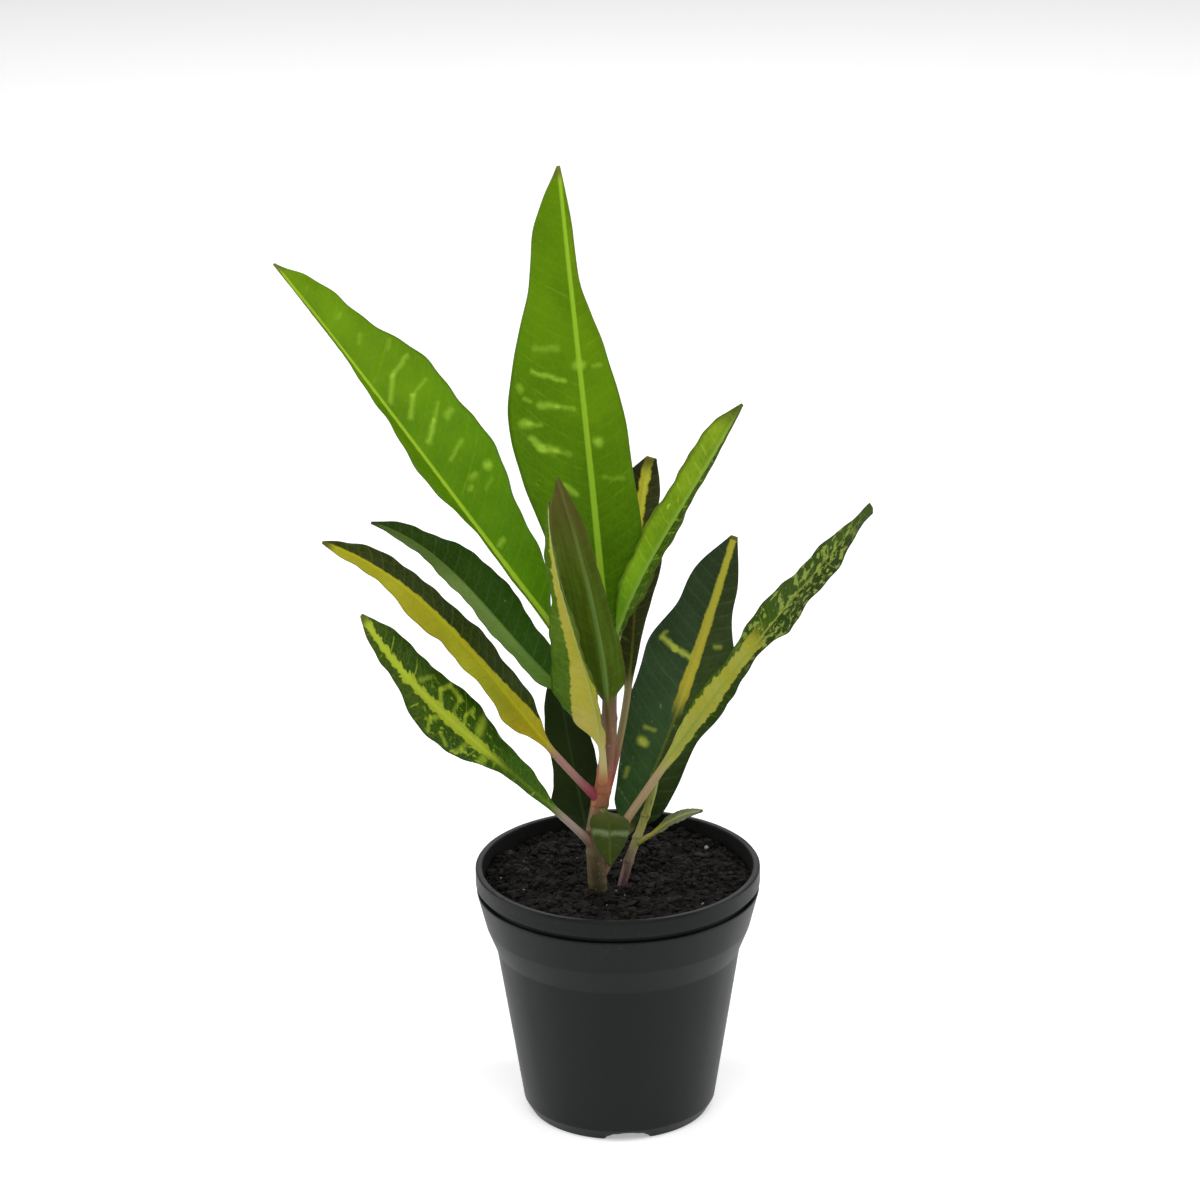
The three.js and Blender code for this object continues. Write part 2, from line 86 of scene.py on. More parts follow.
# The wall strays from round in waves of this number, start and height, from `start` mm to `full` mm up.
SWAY = {"waves": [(3, 0.7, 1), (7, 2.1, 0.6), (17, 0, 0.5)], "start": 8, "full": 28}
INSIDE = {
    "lip": POT["lip_radius"] - POT["lip_thickness"],
    "shoulder": POT["shoulder_radius"] - POT["wall"],
    "wall_top": POT["wall_top_radius"] - POT["wall"],
    "floor": POT["wall_foot_radius"] - POT["wall"],
    "floor_height": POT["underside"] + POT["wall"],
}
SOIL = {
    "top": 92,
    "crown": 1.2,
    "edge_drop": 1.2,
    "edge_fall": 6,
    "clear": 0.3,
    "wall_edge": 4,
    "sides": 200,
    "rings": 70,
    "calm_rings": 4,
    "lump_size": 5,
    "lump_height": 0.9,
    "small_lump_size": 1.6,
    "small_lump_share": 0.5,
    "lump_fractal": (0.9, 2.1, 4),
    "shade": 0.3,
}
SOIL_WAVES = [
    {"along": (0.31, 0.12), "start": 0.4, "height": 0.45},
    {"along": (0.13, -0.37), "start": 1.1, "height": 0.3},
    {"along": (0.52, 0.45), "start": 2, "height": 0.25},
    {"along": (-0.24, 0.5), "start": 0.9, "height": 0.2},
]

# What lies loose on the soil, in millimetres. `size` is the smallest and the largest size of a grain,
# with most of them small, and `flat` is its height against its width. Its corners are moved in and out,
# it is stretched along, across and in height, and it is turned and tilted, by chance between two values.
LITTER = {"off_wall": 2.2, "off_stems": 3.6, "centre_height": 0.25, "small_power": 2.5}
GRAIN = {
    "stretch": [(0.7, 1.5), (0.5, 1), (0.6, 1.1)],
    "turn": (0, 6.28),
    "tilt": (-0.5, 0.5),
    "corner": (0.75, 1.2),
}
GRAINS = {
    "soil_crumbs": {"size": (0.5, 1.9), "flat": 0.8, "seed": 11},
    "soil_bark_chips": {"size": (1.2, 3), "flat": 0.35, "seed": 12},
    "soil_perlite": {"size": (0.35, 0.9), "flat": 0.9, "seed": 13},
}
CRUMBS_PER_CHIP = 12
FIBRE = {"length": (2, 7), "bend": (-1.2, 1.2), "radius": (0.08, 0.2), "lift": 0.5, "arch": 0.5,
         "sides": 5, "rings": 7, "off_wall": 2, "seed": 14}

# Stems: points up the middle from just above the soil to the bud, the heights of leaf scars, and the
# bark's colours at shares of the way up.
STEMS = {
    "main_stem": {
        "line": [(-7, -16, 92), (-8.2, -16.3, 107), (-7.8, -16.2, 120), (-5.6, -15.6, 132),
                 (-3.2, -14.4, 149), (-2.4, -13.2, 168), (-1.8, -12.2, 183)],
        "buried": 34,
        "radius": 3.4,
        "top_radius": 2.5,
        "bud_length": 5,
        "scars": [97, 109, 118, 128, 133, 141, 153, 161, 171],
        "colours": [(0, "4a4426"), (0.15, "54482a"), (0.34, "5a4826"), (0.42, "925230"),
                    (0.5, "8f4c34"), (0.62, "6f4a34"), (0.8, "5c4630"), (1, "5a5a2c")],
    },
    "side_stem": {
        "line": [(1.4, -10.4, 92), (4.8, -11.2, 105.4), (9, -12.4, 117.6), (12, -13.2, 127.6),
                 (14.4, -14, 138.6)],
        "buried": 26,
        "radius": 1.7,
        "top_radius": 1.4,
        "bud_length": 3.5,
        "scars": [103, 113, 122],
        "colours": [(0, "5f3f48"), (0.2, "8a7068"), (0.45, "98985a"), (0.65, "94983c"), (1, "7f8a3c")],
    },
}
STEM = {"sides": 28, "step": 0.8, "scar_swell": 0.3, "scar_reach": 1.1, "scar_colour_reach": 0.66,
        "bud_tip": 0.2, "bark": 0.07}

# What all leaves share, in millimetres and in shares of the blade's length or half width.
LEAF = {
    "stalk_radius": 0.75,
    "stalk_growth": 0.0045,
    "root_out": 0.9,
    "rib": 0.9,
    "curl": 0.1,
    "opening": 0.12,
    "wave_shift": 0.37,
    "wave_width": 6,
    "columns": 41,
    "step": 1.1,
    "crease": 0.8,
    "quilt": 0.09,
    "ripple": 0.3,
    "ripple_count": 3.3,
    "ripple_start": 1.3,
    "quilt_from": 2,
    "quilt_to": 0.75,
    "foot_swell": 0.35,
    "foot_reach": 0.05,
    "crowding": 1.25,
    "edge_thickness": 0.3,
    "edge_power": 6,
    "rib_fade": 0.85,
    "rib_reach": 0.95,
    "rib_sink": 0.25,
    "petiole_colour": 0.7,
}
VEIN = {"spacing": 5.2, "lean": 0.42, "bend": 0.012}

# Leaves: the midrib starts in its stem at the height `root` and passes through three points. `stalk`
# is the share that is petiole, `left` and `right` are half widths from the blade's base to its tip,
# `faces` is where the upper face looks at base and tip, `fold` lifts each half and `wave` holds the
# height, number and start of the waves of the margin.
LEAVES = {
    "leaf_upper_left": {
        "stem": "main_stem", "root": 169, "stalk": 0.13, "fold": 35, "wave": (1, 4, 0.1),
        "midrib": [(-43.6, -2.5, 221.7), (-83.2, 13.5, 273), (-122.5, 31.5, 321)],
        "left": [1.5, 2.5, 3.6, 11.4, 20, 7, 2.6, 1, 0.5],
        "right": [1.5, 12, 17.5, 25, 26, 26, 17.8, 12.2, 0.5],
        "faces": [(0.62, -0.52, 0.58), (0.63, -0.43, 0.65)],
    },
    "leaf_tallest": {
        "stem": "main_stem", "root": 175, "stalk": 0.07, "fold": 14, "wave": (1.2, 3.5, 0),
        "midrib": [(-7, 1.5, 234), (-13, 14.5, 296), (-19, 27.5, 358)],
        "left": [1.5, 13.5, 19.5, 25.5, 28.6, 23.5, 16.5, 11.8, 0.8],
        "right": [1.5, 14, 17, 15.8, 15, 10.4, 4, 3, 0.5],
        "faces": [(0, -0.95, 0.25), (-0.3, -0.9, 0.25)],
    },
    "leaf_right_narrow": {
        "stem": "main_stem", "root": 180, "stalk": 0.12, "fold": 34, "wave": (0.8, 4, 0.3),
        "midrib": [(7.4, -10.5, 209.5), (26, -8.5, 243.5), (46, -7.5, 279)],
        "left": [1.2, 4.5, 7, 8.2, 8.6, 8.4, 8, 7.8, 0.6],
        "right": [1.5, 6, 9, 9, 6.8, 4.8, 3, 1.7, 0.5],
        "faces": [(-0.6, -0.6, 0.5), (-0.5, -0.7, 0.5)],
    },
    "leaf_back_right": {
        "stem": "main_stem", "root": 120, "stalk": 0.29, "fold": 12, "wave": (1, 3, 0.6),
        "midrib": [(5, 0, 172), (8, 15.5, 211), (13.8, 27.5, 247)],
        "left": [2.5, 8, 10, 11, 12, 11, 10, 9, 2],
        "right": [1, 2.3, 3.8, 6.6, 9.3, 9, 7, 5.8, 2],
        "faces": [(-0.1, -0.9, 0.3), (-0.2, -0.9, 0.3)],
    },
    "leaf_broad_right": {
        "stem": "main_stem", "root": 98, "stalk": 0.12, "fold": 10, "wave": (1.2, 3, 0),
        "midrib": [(13.5, -1.5, 134.5), (30, 11.5, 175.5), (44, 23.5, 217.5)],
        "left": [4, 9.5, 14.4, 18.6, 18.8, 19.3, 13.2, 10.8, 1.4],
        "right": [2, 9, 11, 11.4, 16.8, 15.4, 8.4, 6.2, 1.2],
        "faces": [(-0.25, -0.9, 0.4), (-0.2, -0.95, 0.3)],
    },
    "leaf_far_right": {
        "stem": "main_stem", "root": 105, "stalk": 0.16, "fold": 16, "wave": (1.4, 3.5, 0.5),
        "midrib": [(31.4, -24.5, 167.4), (60.5, -32.5, 210), (91, -40.7, 251.5)],
        "left": [1.5, 4.4, 6, 7.2, 7.8, 10, 6, 5.8, 2.4],
        "right": [1.5, 6, 7, 8.2, 5.4, 12.6, 10, 7.2, 4.4],
        "faces": [(-0.5, -0.65, 0.6), (-0.6, -0.4, 0.7)],
    },
    "leaf_front_yellow": {
        "stem": "main_stem", "root": 136, "stalk": 0.11, "fold": 30, "wave": (0.8, 4, 0.2),
        "midrib": [(-9, -32.5, 178.5), (-18.5, -41.5, 218.5), (-23, -47.5, 257.5)],
        "left": [2.5, 11, 15, 13.5, 9.5, 6, 4.5, 3, 0.5],
        "right": [3, 6.3, 5.2, 6, 6, 5, 4, 3, 0.5],
        "faces": [(-0.6, -0.75, 0.3), (-0.8, -0.5, 0.3)],
    },
    "leaf_front_upright": {
        "stem": "main_stem", "root": 153, "stalk": 0.13, "fold": 16, "wave": (0.8, 4, 0.2),
        "midrib": [(-5, -26.5, 190.5), (-11.5, -31.5, 227.5), (-20, -35.5, 261.5)],
        "left": [4, 7.6, 7.4, 6.2, 5.4, 5, 4.5, 3, 0.5],
        "right": [1, 6, 9, 11, 12, 11, 9, 6, 0.5],
        "faces": [(0.1, 0.9, 0.4), (0.1, 0.9, 0.4)],
    },
    "leaf_left_dark": {
        "stem": "main_stem", "root": 159, "stalk": 0.12, "fold": 36, "wave": (0.9, 4, 0.2),
        "midrib": [(-33, -5.5, 184), (-58.5, 2.5, 211.5), (-88.5, 5.5, 230.5)],
        "left": [1.2, 8, 10, 9.6, 9.2, 7.8, 6.5, 3.8, 0.5],
        "right": [1.2, 7.5, 9.6, 11.2, 12.5, 11, 7.5, 4.8, 0.5],
        "faces": [(0.42, -0.7, 0.62), (0.42, -0.7, 0.62)],
    },
    "leaf_left_yellow": {
        "stem": "main_stem", "root": 130, "stalk": 0.14, "fold": 14, "wave": (1.5, 3.5, 0.2),
        "midrib": [(-37.5, -27.5, 172.5), (-66.5, -36.5, 212.5), (-103.5, -43.5, 241)],
        "left": [1.3, 4.3, 12.2, 8.2, 8.5, 12.4, 5.6, 6.3, 0.6],
        "right": [1.3, 6.2, 9.5, 11.7, 8.4, 10, 6.9, 7.4, 0.6],
        "faces": [(0.5, -0.5, 0.7), (0.35, -0.5, 0.85)],
    },
    "leaf_low_left": {
        "stem": "main_stem", "root": 112, "stalk": 0.11, "fold": 12, "wave": (1, 3.5, 0.2),
        "midrib": [(-38.5, -33.5, 148), (-67, -46.5, 181.5), (-89.5, -58.5, 219)],
        "left": [1.3, 2, 3, 7, 12.2, 13.8, 5.7, 5.9, 0.8],
        "right": [1.8, 5, 8, 12, 13.6, 12.9, 10.2, 8.9, 0.8],
        "faces": [(0.4, -0.55, 0.7), (0.4, -0.6, 0.65)],
    },
    "leaf_back_dark": {
        "stem": "main_stem", "root": 108, "stalk": 0.12, "fold": 10, "wave": (1, 3, 0.2),
        "midrib": [(-13.5, -4.5, 124.5), (-18, 2.5, 147.5), (-22.5, 7.5, 172.5)],
        "left": [1.2, 8, 11.2, 9, 7.6, 8.7, 7.5, 5, 0.5],
        "right": [1, 6, 8, 9, 9, 8, 7, 5, 0.5],
        "faces": [(0.2, -0.9, 0.35), (0.2, -0.9, 0.35)],
    },
    "leaf_small_right": {
        "stem": "side_stem", "root": 111, "stalk": 0.16, "fold": 16, "wave": (0.4, 3, 0.2),
        "midrib": [(15, -17, 118), (22, -22.5, 125), (31, -28, 130)],
        "left": [1, 2, 3.6, 4.2, 3.1, 2.3, 0.6],
        "right": [1, 3, 4, 4.5, 4, 3, 0.5],
        "faces": [(-0.2, -0.35, 0.9), (-0.1, -0.35, 0.9)],
    },
    "leaf_small_front": {
        "stem": "main_stem", "root": 126, "stalk": 0.18, "fold": 14, "wave": (0.4, 3, 0.2),
        "midrib": [(-3.4, -27, 127.5), (-2.8, -36, 123.8), (-2.6, -41, 114)],
        "left": [1, 5, 7.2, 7.4, 6.2, 4, 0.5],
        "right": [1, 5, 7.2, 7.4, 6.2, 4, 0.5],
        "faces": [(0.1, -0.2, 0.95), (0.2, -0.9, 0.3)],
    },
}

# How each leaf is marked, in colours, millimetres and shares of the blade. `left` and `right` are the
# ground colours of each half at base, middle and tip, and `cloudy` is how much they vary. `band` holds
# the half widths of a yellow band left and right of the midrib at base, middle and tip. It runs from
# `band_from` to `band_to`, and `ragged` is how far its edge wanders. `rib` is the width of the coloured
# midrib at base and tip, which is plain below `rib_from`. `veins` is the share of side veins that are
# marked and how strongly, `net` how strongly the fine veins show, and `flecks` their amount and the
# stretch of the blade that has them. `edge` is the strength of the dark margin, which starts at
# `edge_from` of each half, and `tip_from` is where the dry tip starts. Each of the `strokes` runs from
# one place to another, across and along the blade, with its width and strength.
PLAIN_LOOK = {
    "left": ("2f6a10", "2f6a10", "2f6a10"), "right": ("2f6a10", "2f6a10", "2f6a10"), "cloudy": 0.5,
    "pale": "8fb85a", "yellow": "b0ab28", "gold": "b89a30", "stroke": "a8cf4c", "midrib": "9cc04a",
    "margin": "22380f", "tip": "3a3a1c", "under": "5d6b34", "petiole": "8a4a44", "petiole_foot": "7a2f3a",
    "rib": (1.5, 0.5), "band": None, "ragged": 1.5, "veins": (0.4, 0.3), "net": 0.12,
    "flecks": (0, 0, 1), "edge": 0.5, "edge_from": 0.93, "tip_from": 0.955, "rib_from": 0, "band_from": 0,
    "band_to": 2, "strokes": [],
}
LOOKS = {
    "leaf_upper_left": {
        "left": ("3e7000", "547e00", "5f8400"), "right": ("427400", "5c8c00", "668c00"), "pale": "86a824",
        "stroke": "98c034", "midrib": "a0c22c", "margin": "42600a", "tip": "5d5c24", "under": "6f9a34",
        "petiole": "6f7a34", "petiole_foot": "7a5a3a", "rib": (3.2, 1.3), "veins": (0.35, 0.22),
        "net": 0.08, "flecks": (0.15, 0.2, 0.6), "tip_from": 0.965,
        "strokes": [
            ((3, 106), (9.5, 113), 1.3, 0.75), ((9.5, 113), (19, 116), 1.1, 0.6),
            ((5.5, 97), (11.5, 103), 1.2, 0.75), ((11.5, 103), (20, 105), 0.9, 0.45),
            ((5.5, 86), (12, 91), 1.3, 0.85), ((12, 91), (18, 95.5), 1, 0.45),
            ((8, 76), (16, 79.5), 1, 0.5), ((17.5, 89.5), (20.5, 90.5), 1.7, 0.55),
            ((18.3, 66.5), (18.9, 66.5), 2, 1), ((10.5, 66.5), (12, 66.5), 1.5, 0.6),
            ((7, 63.5), (8, 64), 1.3, 0.55), ((3.2, 41), (5.5, 42), 1.2, 0.6),
            ((14.5, 122), (17, 124), 1, 0.35), ((7, 130), (9.5, 132), 1, 0.35),
            ((6.5, 142), (9, 143), 1, 0.3), ((12, 60), (17, 62), 0.8, 0.25),
        ],
    },
    "leaf_tallest": {
        "left": ("346000", "548000", "5e8600"), "right": ("305800", "5a8400", "5e7e00"), "pale": "86a824",
        "stroke": "96be34", "midrib": "94be2c", "margin": "3e5a08", "tip": "5f5c26", "under": "6f9a34",
        "petiole": "6f7a34", "petiole_foot": "7a5a3a", "rib": (2.7, 1.3), "veins": (0.35, 0.2), "net": 0.08,
        "flecks": (0.15, 0.2, 0.6), "tip_from": 0.965,
        "strokes": [
            ((-15.5, 111), (-7.5, 110.5), 1.4, 0.4), ((-17.5, 103), (-6, 98.5), 1, 0.8),
            ((-16, 91), (-10, 90), 1.4, 0.75), ((-10, 90), (-3.5, 88.5), 0.9, 0.55),
            ((-23, 98), (-22.5, 97), 1.4, 0.55), ((-21.5, 93.5), (-19.5, 92.5), 1, 0.5),
            ((-23, 85), (-21, 84.8), 1.9, 0.8), ((-21, 84.8), (-16.5, 84), 1, 0.5),
            ((-20.5, 79.5), (-17, 75.5), 1.5, 0.8), ((-17, 75.5), (-12, 74.5), 1.7, 0.85),
            ((-12, 74.5), (-7, 72.5), 1, 0.4), ((-0.6, 103.5), (0.8, 104), 2, 0.9),
            ((5.5, 103), (8, 103.5), 1, 0.45), ((3.8, 76), (4.3, 76), 1.9, 1),
            ((5, 63), (12, 62), 1.1, 0.3), ((-10, 61.5), (-6, 57.8), 1.2, 0.75),
        ],
    },
    "leaf_right_narrow": {
        "left": ("4c8a14", "7ca414", "74901a"), "right": ("2c4c0c", "34500c", "3a4812"), "cloudy": 1,
        "pale": "a0bc3c", "midrib": "84a83c", "margin": "424c12", "tip": "44481e", "under": "6f9a34",
        "petiole": "76904e", "petiole_foot": "7d5a40", "rib": (2.6, 1.6), "veins": (0.8, 0.4), "net": 0.16,
        "flecks": (0.45, 0.2, 0.95), "edge": 0.7, "edge_from": 0.74, "tip_from": 0.87,
    },
    "leaf_back_right": {
        "left": ("2a3410", "2c2c12", "26280f"), "right": ("2c3814", "33381c", "2c3018"), "pale": "8d8c34",
        "yellow": "c4be3c", "midrib": "c8c440", "margin": "2a2014", "tip": "2e2a18", "under": "4a4428",
        "petiole": "78704c", "petiole_foot": "96203c", "rib": (0.8, 1.2),
        "band": ((0, 2, 2.4), (0, 1.4, 1.2)), "ragged": 1.4, "veins": (0.2, 0.2), "net": 0.04,
        "flecks": (0.2, 0.4, 0.95), "tip_from": 0.9, "rib_from": 0.62, "band_from": 0.66,
    },
    "leaf_broad_right": {
        "left": ("2a4a1c", "30472a", "2f3c26"), "right": ("20300a", "2d4018", "343c22"), "cloudy": 0.7,
        "pale": "6f8a5a", "yellow": "aaa636", "gold": "b8a030", "stroke": "a9b545", "midrib": "b0a93c",
        "margin": "1a2618", "under": "3f5138", "petiole": "8c8458", "petiole_foot": "8a5f50",
        "rib": (0.7, 1.7), "band": ((0, 2.3, 1.2), (0, 1.9, 1.1)), "ragged": 0.8, "veins": (0.2, 0.1),
        "net": 0.03, "flecks": (0.4, 0.1, 0.5), "tip_from": 0.985, "rib_from": 0.48, "band_from": 0.48,
        "strokes": [
            ((-14.6, 76.5), (-9, 74), 1.3, 1), ((-9, 74), (-2.8, 73), 1.2, 0.95),
            ((-14.6, 78), (-13.6, 79), 0.8, 0.5), ((-8.6, 37.8), (-7.2, 37.5), 1.8, 0.95),
            ((-9.2, 43.3), (-5.4, 43.4), 1.1, 0.5), ((-9.5, 26), (-9.3, 23.5), 1.1, 0.45),
            ((5.5, 79), (7.5, 79.5), 1, 0.5),
        ],
    },
    "leaf_far_right": {
        "left": ("46600c", "34500a", "34480f"), "right": ("2c4408", "263a06", "2c400c"), "cloudy": 0.8,
        "pale": "8c9c44", "yellow": "a09c30", "gold": "a3a850", "midrib": "8c9a3c", "margin": "22300f",
        "tip": "3a4a14", "petiole": "a08a68", "petiole_foot": "8a6456", "rib": (1.6, 0),
        "band": ((5, 4.2, 0), (4.6, 3.6, 0)), "ragged": 2.4, "veins": (0.7, 0.45), "net": 0,
        "flecks": (1.25, 0.4, 0.97), "edge": 0.7, "band_to": 0.48,
    },
    "leaf_front_yellow": {
        "left": ("3a5c0c", "4c6c10", "44600e"), "right": ("52681c", "566c20", "54641c"), "pale": "7c9c3c",
        "yellow": "b0aa34", "gold": "bcae5a", "midrib": "aab45c", "margin": "2c4a12", "petiole": "b4ab74",
        "petiole_foot": "a8744c", "rib": (1.8, 0.8), "band": ((12, 4, 0), (8.5, 1.8, 0)), "ragged": 2,
        "veins": (0.3, 0.25),
    },
    "leaf_front_upright": {
        "left": ("44640c", "4a6c10", "56601c"), "right": ("44640c", "4a6c10", "56601c"), "pale": "7f8c4a",
        "midrib": "6f8a44", "margin": "453c22", "tip": "584624", "under": "44560c", "petiole": "6a5436",
        "petiole_foot": "74503a", "rib": (2, 0.8), "veins": (0.4, 0.15), "tip_from": 0.93,
    },
    "leaf_left_dark": {
        # Painted sheen: the pale grey-green middle colour of the left half stands in for the reflection
        # along that half.
        "left": ("4c7820", "76904a", "4a5c2a"), "right": ("2c540a", "2e4e06", "2c400c"), "cloudy": 0.45,
        "pale": "7f9c6a", "midrib": "5f7c34", "margin": "1f2e10", "tip": "3a3d28", "under": "5a7a48",
        "petiole": "6f7a44", "rib": (1.2, 0.5), "veins": (0.2, 0.12), "net": 0.04,
        "flecks": (0.1, 0.1, 0.5),
    },
    "leaf_left_yellow": {
        "left": ("2c360f", "343c0f", "3c420f"), "right": ("24340a", "223206", "2a340a"), "cloudy": 0.6,
        "pale": "8c9428", "yellow": "a3a424", "gold": "a39216", "midrib": "a9a418", "margin": "20280f",
        "tip": "35331c", "petiole": "97736a", "petiole_foot": "8a3a4a", "rib": (1.8, 1),
        "band": ((14, 14, 14), (5.5, 1.6, 0.4)), "ragged": 1, "veins": (0.15, 0.12), "net": 0.05,
        "edge": 0.3,
    },
    "leaf_low_left": {
        "left": ("36600c", "2a4608", "3c500f"), "right": ("36600c", "2a4a08", "30460c"), "cloudy": 0.4,
        "pale": "93ac2c", "yellow": "a4b42c", "gold": "9ca230", "stroke": "96ac2c", "midrib": "a8b834",
        "margin": "1c3408", "tip": "2c3c14", "petiole": "9a8a80", "petiole_foot": "7a5e50",
        "rib": (1.6, 2.2), "band": ((0.1, 2.7, 1.4), (0.1, 2.6, 1.5)), "ragged": 3, "veins": (0.45, 0.6),
        "net": 0.08, "flecks": (0.9, 0.3, 0.66), "edge": 0.6, "rib_from": 0.32, "band_from": 0.34,
        "strokes": [
            ((2, 72.5), (6.9, 76), 1.2, 0.85), ((6.9, 76), (11.5, 72.3), 1.1, 0.8),
            ((11.5, 72.3), (9.4, 65.5), 1.2, 0.75), ((2, 59.5), (6, 60.5), 1.2, 0.85),
            ((6, 60.5), (9.4, 58.5), 1.1, 0.7), ((10, 51.8), (5, 51.6), 2.4, 0.9),
            ((-2.5, 71.5), (-6, 75.5), 1.2, 0.7), ((-6, 75.5), (-12, 75.5), 1.1, 0.65),
            ((-9, 69), (-10.5, 65), 1.2, 0.6), ((10.6, 41), (11, 42), 1.3, 0.4),
            ((3.5, 86.5), (7.6, 82.8), 1.2, 0.55), ((-3, 55), (-7, 57), 1.3, 0.6),
            ((-7, 57), (-10.5, 60.5), 1.1, 0.5), ((-2.5, 46), (-6.5, 46.5), 2.2, 0.7),
            ((3, 66), (9, 66), 1.1, 0.5),
        ],
    },
    "leaf_back_dark": {
        "left": ("1b2c10", "22300f", "24340f"), "right": ("1b2c10", "1f2c0f", "2a3a14"), "pale": "2f3f1c",
        "midrib": "2f4019", "margin": "141f0b", "under": "2c3820", "petiole": "4c5a34", "rib": (1.2, 0.5),
        "veins": (0.2, 0.12), "net": 0.02,
    },
    "leaf_small_right": {
        "left": ("7a8048", "70785a", "6c7468"), "right": ("7a8048", "70785a", "6c7468"), "pale": "a7b27c",
        "yellow": "a3a638", "midrib": "a5aa58", "margin": "3c4c2c", "under": "6d7a48", "petiole": "9a9650",
        "petiole_foot": "9a983c", "rib": (1.1, 0.5), "band": ((2.2, 0.6, 0.1), (2.2, 0.6, 0.1)),
        "ragged": 0.6,
    },
    "leaf_small_front": {
        "left": ("5c6038", "32420f", "2a340c"), "right": ("5c6038", "32420f", "2a340c"), "pale": "5c6c3c",
        "stroke": "7c8c64", "midrib": "3f5018", "margin": "2c4420", "under": "5d7450", "petiole": "5a6a34",
        "petiole_foot": "6a5a38", "rib": (1, 0.5), "veins": (0.2, 0.1), "net": 0.03,
        # Painted highlight: this one pale grey-green stroke across the blade, in the `stroke` colour above,
        # stands in for the light caught where the leaf bends down.
        "strokes": [
            ((-6.5, 14.3), (6, 14.8), 1.5, 0.55),
        ],
    },
}
LEAF_SLOTS = {
    "young_leaf": ("leaf_upper_left", "leaf_tallest", "leaf_right_narrow"),
    "yellow_leaf": ("leaf_far_right", "leaf_front_yellow", "leaf_left_yellow", "leaf_low_left",
                    "leaf_small_right"),
    "dark_leaf": ("leaf_back_right", "leaf_broad_right", "leaf_front_upright", "leaf_left_dark",
                  "leaf_back_dark", "leaf_small_front"),
}

# Camera, in millimetres and degrees, from the ellipses of the pot's lip, groove and foot in the photo.
# It stands `distance` from a point on the pot's axis, at `height_angle` over the level of that point.
# There a pixel of the picture covers `pixel_size`. It looks down by `tilt`, turned by `yaw` and `roll`.
CAMERA = {"distance": 2000, "height_angle": 24.9, "aim_height": 48.5, "yaw": 0.17642, "tilt": 20.7912,
          "roll": -0.5512, "pixel_size": 0.3752, "picture": 1200, "sensor": 36, "sight": 50000}

# Stage, in metres: each soft light faces the lit point with its share of the light power.
FLOOR_SIZE = 12
LIT_POINT = (0, 0, 0.17)
LIGHTS = {
    "left_softbox": {"place": (-1.3, 0.1, 0.7), "size": (0.5, 1.2), "share": 1},
    "right_softbox": {"place": (1.3, 0.1, 0.7), "size": (0.5, 1.2), "share": 1},
    "top_softbox": {"place": (0, -0.8, 1.5), "size": (1.2, 1.2), "share": 1.4},
    "back_softbox": {"place": (0, 1.4, 0.9), "size": (1.4, 0.8), "share": 0.6},
}


def linear(code):
    """A colour as linear red, green and blue from its six-figure code."""
    parts = [int(code[i:i + 2], 16) / 255 for i in (0, 2, 4)]
    return [c / 12.92 if c <= 0.04045 else ((c + 0.055) / 1.055) ** 2.4 for c in parts]


def opaque(colour, gain=1):
    """A colour of three numbers, `gain` times as light, in the form that a socket takes."""
    return (*[c * gain for c in colour], 1)


def smooth(t):
    """Soft step from 0 to 1."""
    t = np.clip(t, 0, 1)
    return t * t * (3 - 2 * t)


def unit(v):
    """The same directions with length 1."""
    return v / np.linalg.norm(v, axis=-1, keepdims=True)


# Shader maths


class Wire:
    """A node's output, used in expressions: each operator adds a Math node."""

    def __init__(self, maker, socket):
        self.maker = maker
        self.socket = socket

    def math(self, operation, *others):
        """A Math node on this and other values."""
        return self.maker.math(operation, self, *others)

    def __add__(self, other):
        return self.math("ADD", other)

    __radd__ = __add__

    def __sub__(self, other):
        return self.math("SUBTRACT", other)

    def __rsub__(self, other):
        return self.maker.math("SUBTRACT", other, self)

    def __mul__(self, other):
        return self.math("MULTIPLY", other)

    __rmul__ = __mul__

    def __truediv__(self, other):
        return self.math("DIVIDE", other)

    def __rtruediv__(self, other):
        return self.maker.math("DIVIDE", other, self)

    def __abs__(self):
        return self.math("ABSOLUTE")

    def above(self, limit):
        """1 where this is above the limit, else 0."""
        return self.math("GREATER_THAN", limit)

    def fraction(self):
        """What is left over the next lower whole number."""
        return self.math("FRACT")

    def floor(self):
        """The next lower whole number."""
        return self.math("FLOOR")

    def rise(self, low, high):
        """Soft step from 0 at `low` to 1 at `high`."""
        return self.maker.node("ShaderNodeMapRange", {"interpolation_type": "SMOOTHSTEP"},
                               {"Value": self, "From Min": low, "From Max": high})


